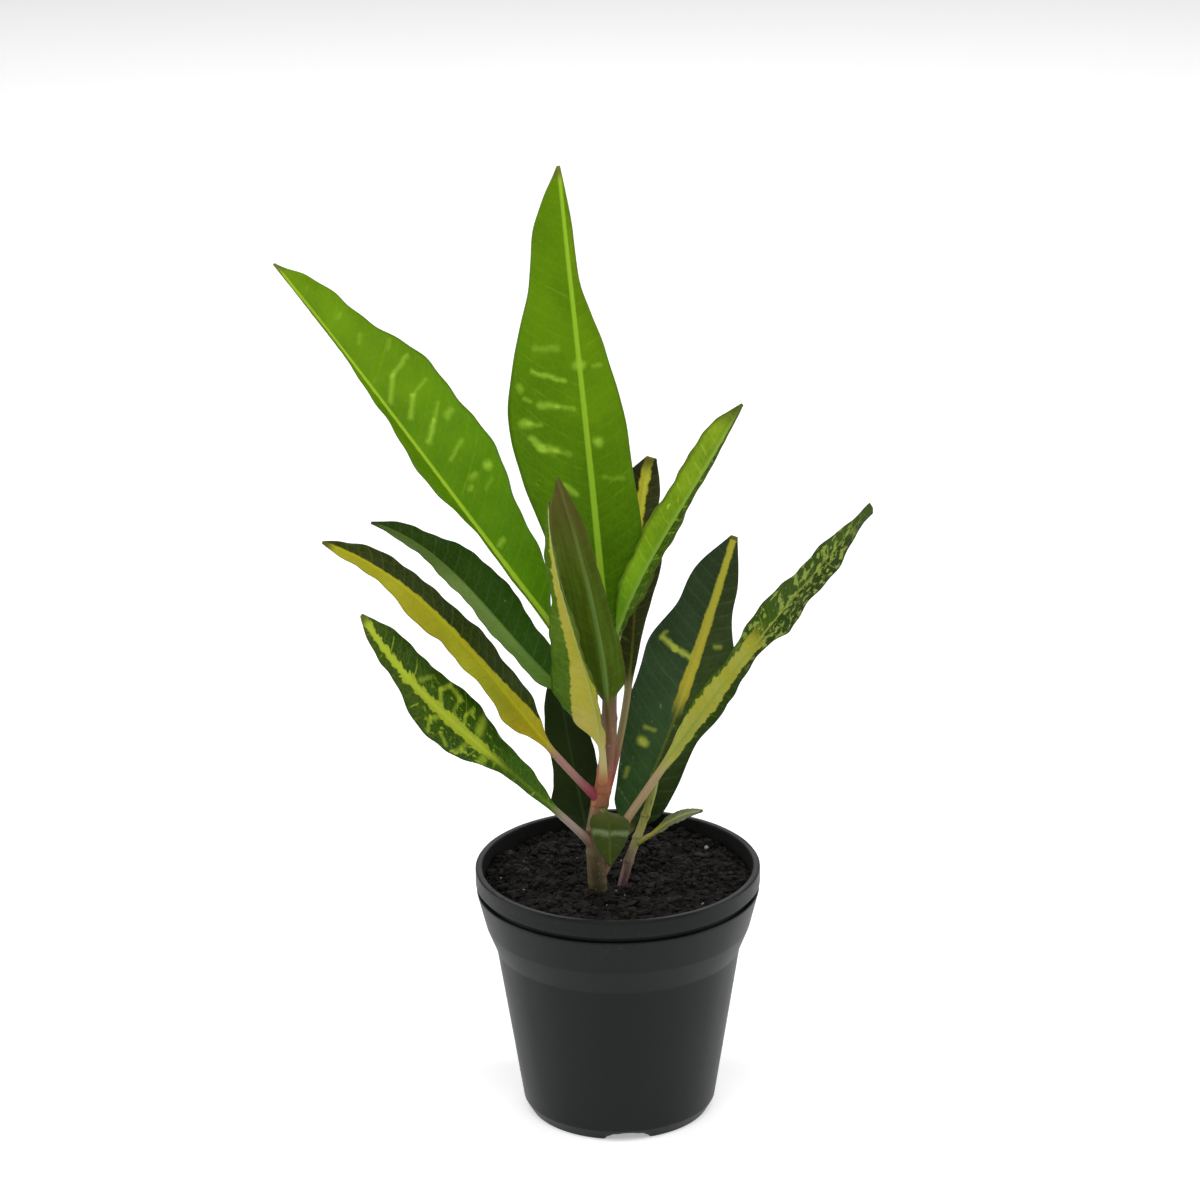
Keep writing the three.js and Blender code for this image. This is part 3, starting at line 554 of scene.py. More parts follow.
class Finish:
    """A new material, with one method that adds any node."""

    def __init__(self, name):
        self.material = bpy.data.materials.new(name)
        self.material.use_nodes = True
        self.tree = self.material.node_tree
        self.tree.nodes.clear()

    def node(self, kind, settings=None, inputs=None, output=0):
        """Adds a node, sets it up, joins or fills its sockets and gives one of its outputs."""
        made = self.tree.nodes.new(kind)
        for key, value in (settings or {}).items():
            if key == "stops":
                self.set_stops(made.color_ramp, value)
            else:
                setattr(made, key, value)
        for key, value in (inputs or {}).items():
            self.put(made.inputs[key], value)
        return Wire(self, made.outputs[output])

    def set_stops(self, ramp, stops):
        """Gives a ramp its stops of place and colour."""
        while len(ramp.elements) < len(stops):
            ramp.elements.new(1)
        for element, (place, colour) in zip(ramp.elements, stops):
            element.position = place
            element.color = opaque(linear(colour))

    def put(self, socket, value):
        """Joins or fills one socket."""
        if isinstance(value, Wire):
            self.tree.links.new(value.socket, socket)
        elif isinstance(value, str):
            socket.default_value = opaque(linear(value))
        else:
            socket.default_value = value

    def math(self, operation, *values):
        """A Math node on wires or numbers."""
        return self.node("ShaderNodeMath", {"operation": operation}, dict(enumerate(values)))

    def place(self):
        """Position on the plant, in metres."""
        return self.node("ShaderNodeTexCoord", output="Object")

    def attribute(self, name, output="Vector"):
        """What the mesh stores under a name at each point."""
        return self.node("ShaderNodeAttribute", {"attribute_name": name}, output=output)

    def ramp(self, stops, share):
        """Colour between stops of place and colour."""
        return self.node("ShaderNodeValToRGB", {"stops": stops}, {"Fac": share})

    def split(self, vector):
        """The three numbers of a vector."""
        made = self.node("ShaderNodeSeparateXYZ", None, {0: vector}).socket.node
        return [Wire(self, out) for out in made.outputs]

    def vector(self, x, y, z):
        """A vector of three numbers."""
        return self.node("ShaderNodeCombineXYZ", None, {"X": x, "Y": y, "Z": z})

    def grow(self, vector, scale):
        """A vector or a colour times three numbers."""
        return self.node("ShaderNodeVectorMath", {"operation": "MULTIPLY"}, {0: vector, 1: scale})

    def mix(self, first, second, share):
        """Colour mixed from two, `share` of it the second."""
        # Of the node's sockets, 6 and 7 are its colours, and its output 2 is the mixed one.
        settings = {"data_type": "RGBA", "clamp_factor": True}
        return self.node("ShaderNodeMix", settings, {0: share, 6: first, 7: second}, 2)

    def clouds(self, vector, scale, detail=3.0, rough=0.55):
        """Cloudy noise between 0 and 1."""
        inputs = {"Vector": vector, "Scale": scale, "Detail": detail, "Roughness": rough}
        return self.node("ShaderNodeTexNoise", None, inputs)

    def cells(self, vector, feature="F1"):
        """Distance from the nearest point or the nearest edge of irregular cells about 1 wide."""
        return self.node("ShaderNodeTexVoronoi", {"feature": feature}, {"Vector": vector, "Scale": 1.0})

    def surface(self, colour, roughness, shine=0.5, relief=None, glow=None):
        """Ends the material in a Principled shader.

        `relief` is a height, its strength and its depth, and `glow` is a colour and its strength.
        """
        inputs = {"Base Color": colour, "Roughness": roughness, "Specular IOR Level": shine}
        if relief:
            height, strength, distance = relief
            bump = {"Height": height, "Strength": strength, "Distance": distance}
            inputs["Normal"] = self.node("ShaderNodeBump", None, bump)
        if glow:
            inputs["Emission Color"], inputs["Emission Strength"] = glow
        shader = self.node("ShaderNodeBsdfPrincipled", None, inputs)
        end = self.tree.nodes.new("ShaderNodeOutputMaterial")
        self.put(end.inputs["Surface"], shader)
        return self.material


# Meshes


def new_piece(name, points, faces, material, slot, replaced=None, soft=True):
    """A mesh object in metres that rides on the plant's one body."""
    mesh = bpy.data.meshes.new(name)
    mesh.from_pydata([tuple(p) for p in np.asarray(points) * MM], [], faces)
    mesh.validate()
    mesh.polygons.foreach_set("use_smooth", [soft] * len(mesh.polygons))
    mesh.materials.append(material)
    piece = bpy.data.objects.new(name, mesh)
    bpy.context.scene.collection.objects.link(piece)
    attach(piece, ROOT)
    if replaced:
        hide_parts(replaced)
    return piece


def tube_faces(rings, around):
    """Four-sided faces between rings of points, with one face over each end."""
    faces = []
    for i in range(rings - 1):
        for j in range(around):
            a = i * around + j
            b = i * around + (j + 1) % around
            faces.append((a, b, b + around, a + around))
    last = (rings - 1) * around
    faces.append(tuple(range(around - 1, -1, -1)))
    faces.append(tuple(range(last, last + around)))
    return faces


def add_numbers(mesh, name, values):
    """Stores a number or three numbers at each point of the mesh."""
    values = np.asarray(values, np.float32)
    three = values.size == 3 * len(mesh.vertices)
    layer = mesh.attributes.new(name, "FLOAT_VECTOR" if three else "FLOAT", "POINT")
    layer.data.foreach_set("vector" if three else "value", values.ravel())


def run_length(points):
    """Length of a line through points."""
    return np.linalg.norm(np.diff(points, axis=0), axis=1).sum()


def circles(first, second, turn):
    """Circles of radius 1 round a line, from its two crosswise directions at each point."""
    return first[:, None] * np.cos(turn)[None, :, None] + second[:, None] * np.sin(turn)[None, :, None]


def tube_piece(name, rings, material, slot, replaced, **numbers):
    """A closed tube through rings of points, with the numbers that its finish reads at each point."""
    count, around = rings.shape[:2]
    piece = new_piece(name, rings.reshape(-1, 3), tube_faces(count, around), material, slot, replaced)
    for key, values in numbers.items():
        add_numbers(piece.data, key, values)
    return piece


def unroll(piece, rings, around):
    """Maps a tube of rings into the unit square."""
    layer = piece.data.uv_layers.new(name="UVMap")
    for face in piece.data.polygons:
        corners = [piece.data.loops[k].vertex_index for k in face.loop_indices]
        places = [corner % around for corner in corners]
        wraps = len(corners) == 4 and max(places) - min(places) > 1
        for k, corner, place in zip(face.loop_indices, corners, places):
            if wraps and place == 0:
                place = around
            layer.data[k].uv = (place / around, (corner // around) / (rings - 1))


def spline(points, t):
    """Smooth curve through points, t from 0 to 1, by Catmull-Rom."""
    points = np.asarray(points, float)
    last = len(points) - 1
    x = np.clip(np.atleast_1d(t), 0, 1) * last
    i = np.minimum(x.astype(int), last - 1)
    f = (x - i)[:, None]
    b = points[i]
    c = points[i + 1]
    a = np.where((i > 0)[:, None], points[np.maximum(i - 1, 0)], 2 * b - c)
    d = np.where((i + 2 <= last)[:, None], points[np.minimum(i + 2, last)], 2 * c - b)
    return b + 0.5 * f * (c - a + f * (2 * a - 5 * b + 4 * c - d + f * (3 * (b - c) + d - a)))


def rounded(corners):
    """A profile of (radius, height, rounding) corners with an arc at each rounded one."""
    steps = 5
    out = []
    for k, (r, z, round_radius) in enumerate(corners):
        here = np.array([r, z], float)
        if not round_radius or k in (0, len(corners) - 1):
            out.append(here)
            continue
        before = unit(np.array(corners[k - 1][:2], float) - here)
        after = unit(np.array(corners[k + 1][:2], float) - here)
        half = math.acos(max(-1, min(1, float(before @ after)))) / 2
        start = here + before * round_radius / math.tan(half)
        end = here + after * round_radius / math.tan(half)
        for i in range(steps + 1):
            s = i / steps
            out.append(start * (1 - s) ** 2 + here * 2 * s * (1 - s) + end * s * s)
    return np.array(out)


# The pot


def pot_profile(settings):
    """Outline of the pot's wall, from the middle of its underside round to the middle of its floor."""
    soft = settings.edge_round / MM
    p = POT
    ring = p["foot_radius"] - p["foot_ring"]
    return rounded([
        (0, 0, 0),
        (p["centre_radius"], 0, soft / 2),
        (p["centre_radius"] + soft, p["underside"], soft / 2),
        (ring, p["underside"], soft / 2),
        (ring, 0, soft / 2),
        (p["foot_radius"], 0, soft),
        (p["wall_foot_radius"], p["wall_foot"], p["wall_foot_round"]),
        (p["wall_top_radius"], p["wall_top"], p["wall_top_round"]),
        (p["shoulder_radius"], p["shoulder_top"], p["shoulder_round"]),
        (p["collar_radius"], p["collar_top"], soft),
        (p["groove_radius"], p["collar_top"], soft / 3),
        (p["groove_radius"], p["groove_top"], soft / 3),
        (p["lip_radius"], p["groove_top"], soft / 1.5),
        (p["lip_radius"], p["height"], 1.5 * soft),
        (INSIDE["lip"], p["height"], 1.3 * soft),
        (INSIDE["shoulder"], p["shoulder_top"], p["inner_round"]),
        (INSIDE["wall_top"], p["wall_top"], p["inner_round"]),
        (INSIDE["floor"], INSIDE["floor_height"], p["inner_round"]),
        (0, INSIDE["floor_height"], 0),
    ])


def dense(profile, step):
    """The same outline with no stretch longer than a step."""
    out = [profile[0]]
    for a, b in zip(profile, profile[1:]):
        count = max(1, math.ceil(np.linalg.norm(b - a) / step))
        out.extend(a + (b - a) * k / count for k in range(1, count + 1))
    return np.array(out)


def arch_height(radius, turn):
    """Height of the notch over a point of the foot ring, 0 between notches."""
    pitch = 2 * math.pi / NOTCH["count"]
    centre = math.radians(NOTCH["turn"] - 90)
    away = (turn - centre + pitch / 2) % pitch - pitch / 2
    across = radius * np.sin(away) / (NOTCH["width"] / 2)
    return NOTCH["height"] * np.sqrt(np.clip(1 - across ** 2, 0, 1))


def pot_points(profile, settings):
    """Rings of the turned pot, with its notches and the slight unevenness of a thin moulding."""
    turn = np.arange(settings.sides) * 2 * math.pi / settings.sides
    radius = profile[:, :1] + 0 * turn
    height = profile[:, 1:] + 0 * turn
    ring_from = POT["foot_radius"] - POT["foot_ring"] - POT["leeway"]
    height = np.where(radius > ring_from, np.maximum(height, arch_height(radius, turn)), height)
    sway = sum(size * np.sin(count * turn + start) for count, start, size in SWAY["waves"])
    wall = smooth((profile[:, 1:] - SWAY["start"]) / (SWAY["full"] - SWAY["start"]))
    radius = radius + wall * sway * settings.wall_sway / MM
    return np.stack([radius * np.cos(turn), radius * np.sin(turn), height], -1)


def slot_cutter(turn):
    """A tall slot-shaped block that cuts one drain hole, as an object."""
    half = (DRAIN["length"] - DRAIN["width"]) / 2
    sides = DRAIN["sides"]
    points = []
    for z in (-DRAIN["past"], INSIDE["floor_height"] + DRAIN["past"]):
        for k in range(sides):
            angle = 2 * math.pi * (k + 0.5) / sides
            x = math.cos(angle) * DRAIN["width"] / 2 + math.copysign(half, math.cos(angle))
            y = math.sin(angle) * DRAIN["width"] / 2
            points.append(Matrix.Rotation(turn, 3, "Z") @ Vector((x + DRAIN["radius"], y, z)) * MM)
    mesh = bpy.data.meshes.new("drain_cutter")
    mesh.from_pydata(points, [], tube_faces(2, sides))
    cutter = bpy.data.objects.new("drain_cutter", mesh)
    bpy.context.scene.collection.objects.link(cutter)
    return cutter


def cut_drains(pot):
    """Cuts the drain slots through the pot's floor and keeps the result as its mesh."""
    cutters = []
    for i in range(NOTCH["count"]):
        cutter = slot_cutter(math.radians(NOTCH["turn"] - 90 + 360 / NOTCH["count"] * i))
        modifier = pot.modifiers.new("drain", "BOOLEAN")
        modifier.operation = "DIFFERENCE"
        modifier.solver = "EXACT"
        modifier.object = cutter
        cutters.append(cutter)
    seen = pot.evaluated_get(bpy.context.evaluated_depsgraph_get())
    made = bpy.data.meshes.new_from_object(seen)
    pot.modifiers.clear()
    pot.data = made
    for cutter in cutters:
        bpy.data.objects.remove(cutter)


def pot_finish(settings):
    """Charcoal moulded plastic: fine texture, faint drag lines up the wall, scuffs, dust of soil and
    painted shade in the groove under the lip.
    """
    f = Finish("charcoal_pot_plastic")
    place = f.place()
    x, y, z = f.split(place)
    up = z / MM
    turn = f.math("ARCTAN2", y, x)
    wall_lines = f.clouds(f.vector(turn * 26, up * 0.012, 0), 1.0, 4.0, 0.6)
    cloud = f.clouds(place, 38.0, 4.0)
    grain = f.clouds(place, 2600.0, 2.0)
    scuff_lines = f.clouds(f.grow(place, (900.0, 900.0, 5200.0)), 1.0, 3.0, 0.7)
    scuff = scuff_lines.rise(0.66, 0.78) * f.clouds(place, 60.0, 2.0).rise(0.5, 0.65)
    dust = f.clouds(place, 420.0, 4.0, 0.7).rise(0.5, 0.72)
    dust = dust * up.rise(POT["shoulder_top"], POT["height"]) * cloud.rise(0.42, 0.62)
    body = settings.colour
    colour = f.mix(opaque(body), opaque(body, 1.5), cloud * 0.6 + wall_lines * 0.35)
    colour = f.mix(colour, "56565a", scuff * 0.3)
    colour = f.mix(colour, "4a4038", dust * 0.4)
    # Painted shade: the groove under the lip is darkened almost to black, in place of the shadow that falls
    # in it.
    groove_shade = up.rise(POT["collar_top"] - 0.3, POT["collar_top"] + 0.2)
    groove_shade = groove_shade * (1 - up.rise(POT["groove_top"] - 0.2, POT["groove_top"] + 0.3))
    colour = f.mix(colour, "050505", groove_shade * 0.8)
    reach = (x * x + y * y).math("SQRT") / MM
    inside = 1 - reach.rise(INSIDE["lip"] - 0.2, INSIDE["lip"] + 0.5)
    residue = up.rise(SOIL["top"] - 3, SOIL["top"] - 1) * inside
    colour = f.mix(colour, "060504", residue * 0.9)
    rough = 0.36 + cloud * 0.1 + grain * 0.05 + scuff * 0.16 + dust * 0.3 + residue * 0.4
    height = grain * 0.25 + wall_lines * 0.5 + dust * 0.5
    return f.surface(colour, rough, settings.shine, (height, 0.35, 0.12 * MM))


# The soil


def soil_height(x, y):
    """Height of the soil's surface at a point, without its crumbs."""
    out = np.hypot(x, y) / INSIDE["lip"]
    mound = SOIL["crown"] * (1 - out ** 2) - SOIL["edge_drop"] * out ** SOIL["edge_fall"]
    waves = [w["height"] * np.sin(w["along"][0] * x + w["along"][1] * y + w["start"]) for w in SOIL_WAVES]
    return SOIL["top"] + mound + sum(waves)


def soil_radius(height):
    """Radius of the soil against the pot's wall."""
    heights = [INSIDE["floor_height"], POT["wall_top"], POT["shoulder_top"], POT["height"]]
    radii = [INSIDE["floor"], INSIDE["wall_top"], INSIDE["shoulder"], INSIDE["lip"]]
    return np.interp(height, heights, radii) - SOIL["clear"]


def lumps(x, y, size=SOIL["lump_size"], height=SOIL["lump_height"]):
    """Fractal lumps of the soil at a point."""
    layer = 3.7
    smoothness, fineness, octaves = SOIL["lump_fractal"]
    place = Vector((x / size, y / size, layer))
    return height * noise.fractal(place, smoothness, fineness, octaves, noise_basis="PERLIN_ORIGINAL")


def lumpy_height(x, y):
    """Height of the soil with its larger lumps, on which loose pieces lie."""
    return float(soil_height(x, y)) + lumps(x, y)


def soil_points(settings):
    """Rings of the soil body, from its bottom edge up the wall and in over the lumpy top."""
    turn = np.arange(SOIL["sides"]) * 2 * math.pi / SOIL["sides"]
    rings = []
    bottom = INSIDE["floor_height"] + SOIL["clear"]
    for z in (bottom, POT["wall_top"], POT["shoulder_top"], SOIL["top"] - SOIL["wall_edge"]):
        radius = soil_radius(z)
        rings.append(np.stack([radius * np.cos(turn), radius * np.sin(turn), z + 0 * turn], -1))
    edge = soil_radius(SOIL["top"] - SOIL["edge_drop"])
    lump = settings.lump_height / MM
    small_size = SOIL["small_lump_size"]
    small = lump * SOIL["small_lump_share"]
    for i in range(SOIL["rings"]):
        radius = edge * (1 - i / SOIL["rings"])
        x = radius * np.cos(turn)
        y = radius * np.sin(turn)
        rough = [lumps(a, b, height=lump) + lumps(a, b, small_size, small) for a, b in zip(x, y)]
        z = soil_height(x, y) + min(1, i / SOIL["calm_rings"]) * np.array(rough)
        rings.append(np.stack([x, y, z], -1))
    return np.array(rings)


def crumb_corners():
    """The twelve corners of a regular grain."""
    longer = (1 + math.sqrt(5)) / 2
    first = [(0, a, b * longer) for a in (-1, 1) for b in (-1, 1)]
    return np.concatenate([np.roll(first, -turn, axis=1) for turn in range(3)])


def crumb(rng, centre, size, flat):
    """An angular grain: a regular one with its corners moved, stretched and turned."""
    corners = crumb_corners()
    stretch = np.array([rng.uniform(*limits) for limits in GRAIN["stretch"]]) * (1, 1, flat)
    turn = Matrix.Rotation(rng.uniform(*GRAIN["turn"]), 3, "Z")
    tilt = Matrix.Rotation(rng.uniform(*GRAIN["tilt"]), 3, "X")
    moved = np.array([[rng.uniform(*GRAIN["corner"])] for _ in corners])
    local = corners / corners.max() * moved * stretch * size
    return np.array(centre) + local @ np.array(turn @ tilt).T


def crumb_faces():
    """Faces of a grain: every three of its corners that are neighbours, turned to look outwards."""
    points = crumb_corners()
    longest_edge = 2.1
    faces = []
    for i, j, k in itertools.combinations(range(len(points)), 3):
        edges = [np.linalg.norm(points[a] - points[b]) for a, b in ((i, j), (j, k), (i, k))]
        if max(edges) < longest_edge:
            outward = np.cross(points[j] - points[i], points[k] - points[i]) @ points[i] > 0
            faces.append((i, j, k) if outward else (i, k, j))
    return faces


def on_soil(rng):
    """A random place on the soil's surface, clear of the stems."""
    feet = [stem["line"][0] for stem in STEMS.values()]
    while True:
        radius = (INSIDE["lip"] - LITTER["off_wall"]) * math.sqrt(rng.random())
        turn = rng.uniform(0, 2 * math.pi)
        x = radius * math.cos(turn)
        y = radius * math.sin(turn)
        if min(math.hypot(x - fx, y - fy) for fx, fy, _ in feet) > LITTER["off_stems"]:
            return x, y


def litter_piece(name, points, faces, shade, material, soft):
    """One mesh of many loose pieces on the soil. All corners of a loose piece have its shade."""
    piece = new_piece(name, points, faces, material, "potting_soil", soft=soft)
    add_numbers(piece.data, "shade", shade)


def scatter(name, count, material):
    """Many grains over the soil, in one mesh."""
    grain = GRAINS[name]
    smallest, largest = grain["size"]
    flat = grain["flat"]
    rng = random.Random(grain["seed"])
    corners = len(crumb_corners())
    cell = crumb_faces()
    points = []
    faces = []
    shade = []
    for n in range(count):
        x, y = on_soil(rng)
        size = smallest + (largest - smallest) * rng.random() ** LITTER["small_power"]
        z = lumpy_height(x, y) + size * flat * LITTER["centre_height"]
        points.extend(crumb(rng, (x, y, z), size, flat))
        faces.extend(tuple(corners * n + c for c in face) for face in cell)
        shade.extend([rng.random()] * corners)
    litter_piece(name, points, faces, shade, material, False)


def fibre_rings(x, y, turn, length, bend, radius):
    """Points of one bent fibre round a place on the soil."""
    points = []
    farthest = INSIDE["lip"] - FIBRE["off_wall"]
    for k in range(FIBRE["rings"]):
        s = k / (FIBRE["rings"] - 1) - 0.5
        heading = turn + bend * s
        px = x + length * s * math.cos(heading)
        py = y + length * s * math.sin(heading)
        reach = math.hypot(px, py)
        if reach > farthest:
            px *= farthest / reach
            py *= farthest / reach
        pz = lumpy_height(px, py) + FIBRE["lift"] + FIBRE["arch"] * math.cos(math.pi * s)
        for j in range(FIBRE["sides"]):
            around = 2 * math.pi * j / FIBRE["sides"]
            out = radius * math.cos(around)
            points.append((px - out * math.sin(heading), py + out * math.cos(heading),
                           pz + radius * math.sin(around)))
    return points


def fibre_strands(count, material):
    """Thin bent peat fibres lying on the soil, in one mesh."""
    rng = random.Random(FIBRE["seed"])
    cell = tube_faces(FIBRE["rings"], FIBRE["sides"])
    corners = FIBRE["rings"] * FIBRE["sides"]
    points = []
    faces = []
    shade = []
    for n in range(count):
        x, y = on_soil(rng)
        turn = rng.uniform(0, 2 * math.pi)
        length, bend, radius = (rng.uniform(*FIBRE[key]) for key in ("length", "bend", "radius"))
        points.extend(fibre_rings(x, y, turn, length, bend, radius))
        faces.extend(tuple(corners * n + c for c in face) for face in cell)
        shade.extend([rng.random()] * corners)
    litter_piece("soil_fibres", points, faces, shade, material, True)


def grain_finish(name, scale, detail=5.0):
    """The start of a soil finish: its place, its fine grain and the shade of each loose piece."""
    f = Finish(name)
    place = f.place()
    return f, place, f.clouds(place, scale, detail, 0.7), f.attribute("shade", "Fac")


def soil_finish(settings):
    """Moist black-brown peat with lighter bark dust."""
    f, place, fine, shade = grain_finish("moist_potting_soil", 900.0, 6.0)
    coarse = f.clouds(place, 160.0, 4.0)
    dark = settings.colour
    colour = f.mix(opaque(dark), opaque(dark, 3.2), fine.rise(0.35, 0.75) * 0.7 + shade * 0.3)
    colour = f.mix(colour, "3f3024", coarse.rise(0.58, 0.72) * fine.rise(0.5, 0.65) * 0.5)
    return f.surface(colour, 0.72 + fine * 0.25, 0.2, (fine + coarse * 0.5, 0.9, 0.6 * MM))


def chip_finish():
    """Bark chips and fibres, some brown and some grey."""
    f, _, fine, shade = grain_finish("bark_chips_and_fibres", 1500.0)
    colour = f.ramp([(0, "090807"), (0.5, "100d0b"), (0.85, "1b1512"), (1, "342b23")], shade)
    colour = f.mix(colour, "0d0a08", fine.rise(0.4, 0.7) * 0.6)
    return f.surface(colour, 0.7 + fine * 0.2, 0.2, (fine, 0.7, 0.4 * MM))


def perlite_finish():
    """Chalky pale grains, a little soiled."""
    f, _, fine, shade = grain_finish("soiled_perlite", 1800.0)
    colour = f.mix("b9b6aa", "5c5850", fine.rise(0.4, 0.65) * 0.7 + shade * 0.3)
    return f.surface(colour, 0.85 + fine * 0.1, relief=(fine, 0.8, 0.4 * MM))


# The stems


def near_scars(stem, height, reach):
    """How near heights are to a leaf scar: 1 at the scar, fading over `reach`."""
    return sum(np.exp(-(((height - z) / reach) ** 2)) for z in stem["scars"])


def stem_radius(stem, height, to_tip):
    """Radius at heights, `to_tip` from the bud's end, with a ring at each leaf scar."""
    foot = stem["line"][0][2]
    top = stem["line"][-1][2]
    share = np.clip((height - foot) / (top - foot), 0, 1)
    taper = stem["radius"] + (stem["top_radius"] - stem["radius"]) * share
    swell = STEM["scar_swell"] * near_scars(stem, height, STEM["scar_reach"])
    bud = np.sqrt(1 - (1 - np.clip(to_tip / stem["bud_length"], 0, 1)) ** 2)
    return (taper + swell) * np.maximum(bud, STEM["bud_tip"])


def stem_rings(stem):
    """Rings of a stem, from its buried foot to its bud."""
    length = run_length(spline(stem["line"], np.linspace(0, 1, 200)))
    t = np.linspace(0, 1, int(length / STEM["step"]))
    centre = spline(stem["line"], t)
    tangent = unit(np.gradient(centre, axis=0))
    foot_x, foot_y, foot = stem["line"][0]
    below = np.array([(foot_x, foot_y, foot - stem["buried"] * share) for share in (1, 0.5, 0.1)])
    centre = np.concatenate([below, centre])
    tangent = np.concatenate([[[0, 0, 1.0]] * len(below), tangent])
    to_tip = np.concatenate([[length] * len(below), length * (1 - t)])
    side = unit(np.array([1.0, 0, 0]) - tangent * tangent[:, :1])
    turn = np.arange(STEM["sides"]) * 2 * math.pi / STEM["sides"]
    height = centre[:, 2:]
    bark = 1 + STEM["bark"] * (0.5 * np.sin(5 * turn + 0.25 * height) + 0.4 * np.sin(9 * turn + 1))
    radius = stem_radius(stem, height, to_tip[:, None]) * np.where(height < foot, 1, bark)
    return centre[:, None] + circles(side, np.cross(tangent, side), turn) * radius[..., None]


def stem_finish(name, stem):
    """Young croton bark: colour by height, fine upright fissures, pale pores and darker scar rings."""
    f = Finish(name + "_skin")
    place = f.place()
    foot = stem["line"][0][2]
    top = stem["line"][-1][2]
    share = (f.split(place)[2] / MM - foot) / (top - foot)
    colour = f.ramp(stem["colours"], share + (f.clouds(place, 90.0) - 0.5) * 0.2)
    fissures = f.clouds(f.grow(place, (1500.0, 1500.0, 190.0)), 1.0, 4.0, 0.6)
    pores = f.cells(f.grow(place, (620.0, 620.0, 300.0))).rise(0.2, 0.12)
    scar = f.attribute("scar", "Fac")
    colour = f.mix(colour, "4a3a20", fissures.rise(0.5, 0.72) * 0.55)
    colour = f.mix(colour, "a8966a", pores * 0.35)
    colour = f.mix(colour, "5a3a22", scar.rise(0.5, 0.95) * 0.6)
    return f.surface(colour, 0.5 + fissures * 0.25, relief=(fissures * -0.6 + pores * 0.3, 0.6, 0.3 * MM))


# The leaves


def half_width(values, v):
    """Smooth curve through the half widths of one side."""
    return spline(np.array(values, float)[:, None], v)[:, 0]


def leaf_knots(leaf):
    """The four points that the midrib passes through, the first in the stem."""
    stem = STEMS[leaf["stem"]]
    line = spline(stem["line"], np.linspace(0, 1, 1001))
    centre = line[np.argmax(line[:, 2] >= leaf["root"])]
    away = np.array(leaf["midrib"][0], float) - centre
    away[2] = 0
    return np.array([centre + unit(away) * LEAF["root_out"], *leaf["midrib"]], float)


def midrib_point(knots, u):
    """Cubic through the four knots at equal steps of u."""
    at = [0, 1 / 3, 2 / 3, 1]
    total = 0
    for i, knot in enumerate(knots):
        weight = 1
        for j, other in enumerate(at):
            if j != i:
                weight = weight * (u - other) / (at[i] - other)
        total = total + np.asarray(weight)[:, None] * knot
    return total


def leaf_axes(leaf, knots, u):
    """Point, upper face and right-hand side of the midrib at u."""
    step = 0.001
    point = midrib_point(knots, u)
    along = unit(midrib_point(knots, u + step) - midrib_point(knots, u - step))
    turn = smooth((u - leaf["stalk"]) / (1 - leaf["stalk"]))[:, None]
    first, second = (unit(np.array(face, float)) for face in leaf["faces"])
    face = first * (1 - turn) + second * turn
    face = unit(face - along * (face * along).sum(1, keepdims=True))
    return point, face, np.cross(along, face)


def blade_surface(leaf, knots, v, across, length):
    """Middle surface of the blade as a grid, and how far across it each point lies in millimetres."""
    u = leaf["stalk"] + (1 - leaf["stalk"]) * v
    point, face, side = leaf_axes(leaf, knots, u)
    out = np.abs(across)[None, :]
    right = (across >= 0)[None, :]
    width = np.where(right, half_width(leaf["right"], v)[:, None], half_width(leaf["left"], v)[:, None])
    fold = math.radians(leaf["fold"])
    height, count, start = leaf["wave"]
    turn = 2 * math.pi * (count * v[:, None] + start + np.where(right, LEAF["wave_shift"], 0))
    wave = height * out ** 2 * np.sin(turn)
    ripple = LEAF["ripple"] * out ** 3 * np.sin(turn * LEAF["ripple_count"] + LEAF["ripple_start"])
    waved = (wave + ripple) * np.minimum(1, width / LEAF["wave_width"])
    crease = np.minimum(LEAF["crease"] / np.maximum(width, 0.1), 0.5)
    lifted = np.sqrt(out ** 2 + crease ** 2) - crease
    away = width * out
    vein = v[:, None] * length - VEIN["lean"] * away - VEIN["bend"] * away ** 2
    phase = 2 * math.pi * (vein / VEIN["spacing"] + np.where(right, 0.5, 0))
    inner = 1 - smooth((out - LEAF["quilt_to"]) / (1 - LEAF["quilt_to"]))
    quilt = LEAF["quilt"] * np.cos(phase) * smooth(away / LEAF["quilt_from"]) * inner
    lift = width * (lifted * math.sin(fold) - LEAF["curl"] * out ** 2) + waved + quilt
    shift = width * across[None, :] * math.cos(fold)
    grid = point[:, None] + side[:, None] * shift[..., None] + face[:, None] * lift[..., None]
    return grid, width * across[None, :]


def both_faces(upper, lower):
    """Rings that run over the upper face and back under the lower one."""
    return np.concatenate([upper, lower[:, ::-1]], 1)


def blade_rings(leaf, knots, v, across, length, thickness):
    """Rings of the blade with its raised midrib below, and how far across it each point lies."""
    grid, reach = blade_surface(leaf, knots, v, across, length)
    step = 0.01
    from_v = np.minimum(v, 1 - step)
    behind, ahead = (blade_surface(leaf, knots, w, across, length)[0] for w in (from_v, from_v + step))
    normal = unit(np.cross(np.gradient(grid, axis=1), ahead - behind))
    out = np.clip(np.abs(across), 0, 0.999)[None, :]
    edge = LEAF["edge_thickness"]
    half = thickness / 2 * (edge + (1 - edge) * np.sqrt(1 - out ** LEAF["edge_power"]))
    rib = LEAF["rib"] * (1 - LEAF["rib_fade"] * v[:, None]) * np.exp(-((reach / LEAF["rib_reach"]) ** 2))
    upper = grid + normal * (half - LEAF["rib_sink"] * rib)[..., None]
    lower = grid - normal * (half + rib)[..., None]
    return both_faces(upper, lower), both_faces(reach, reach)


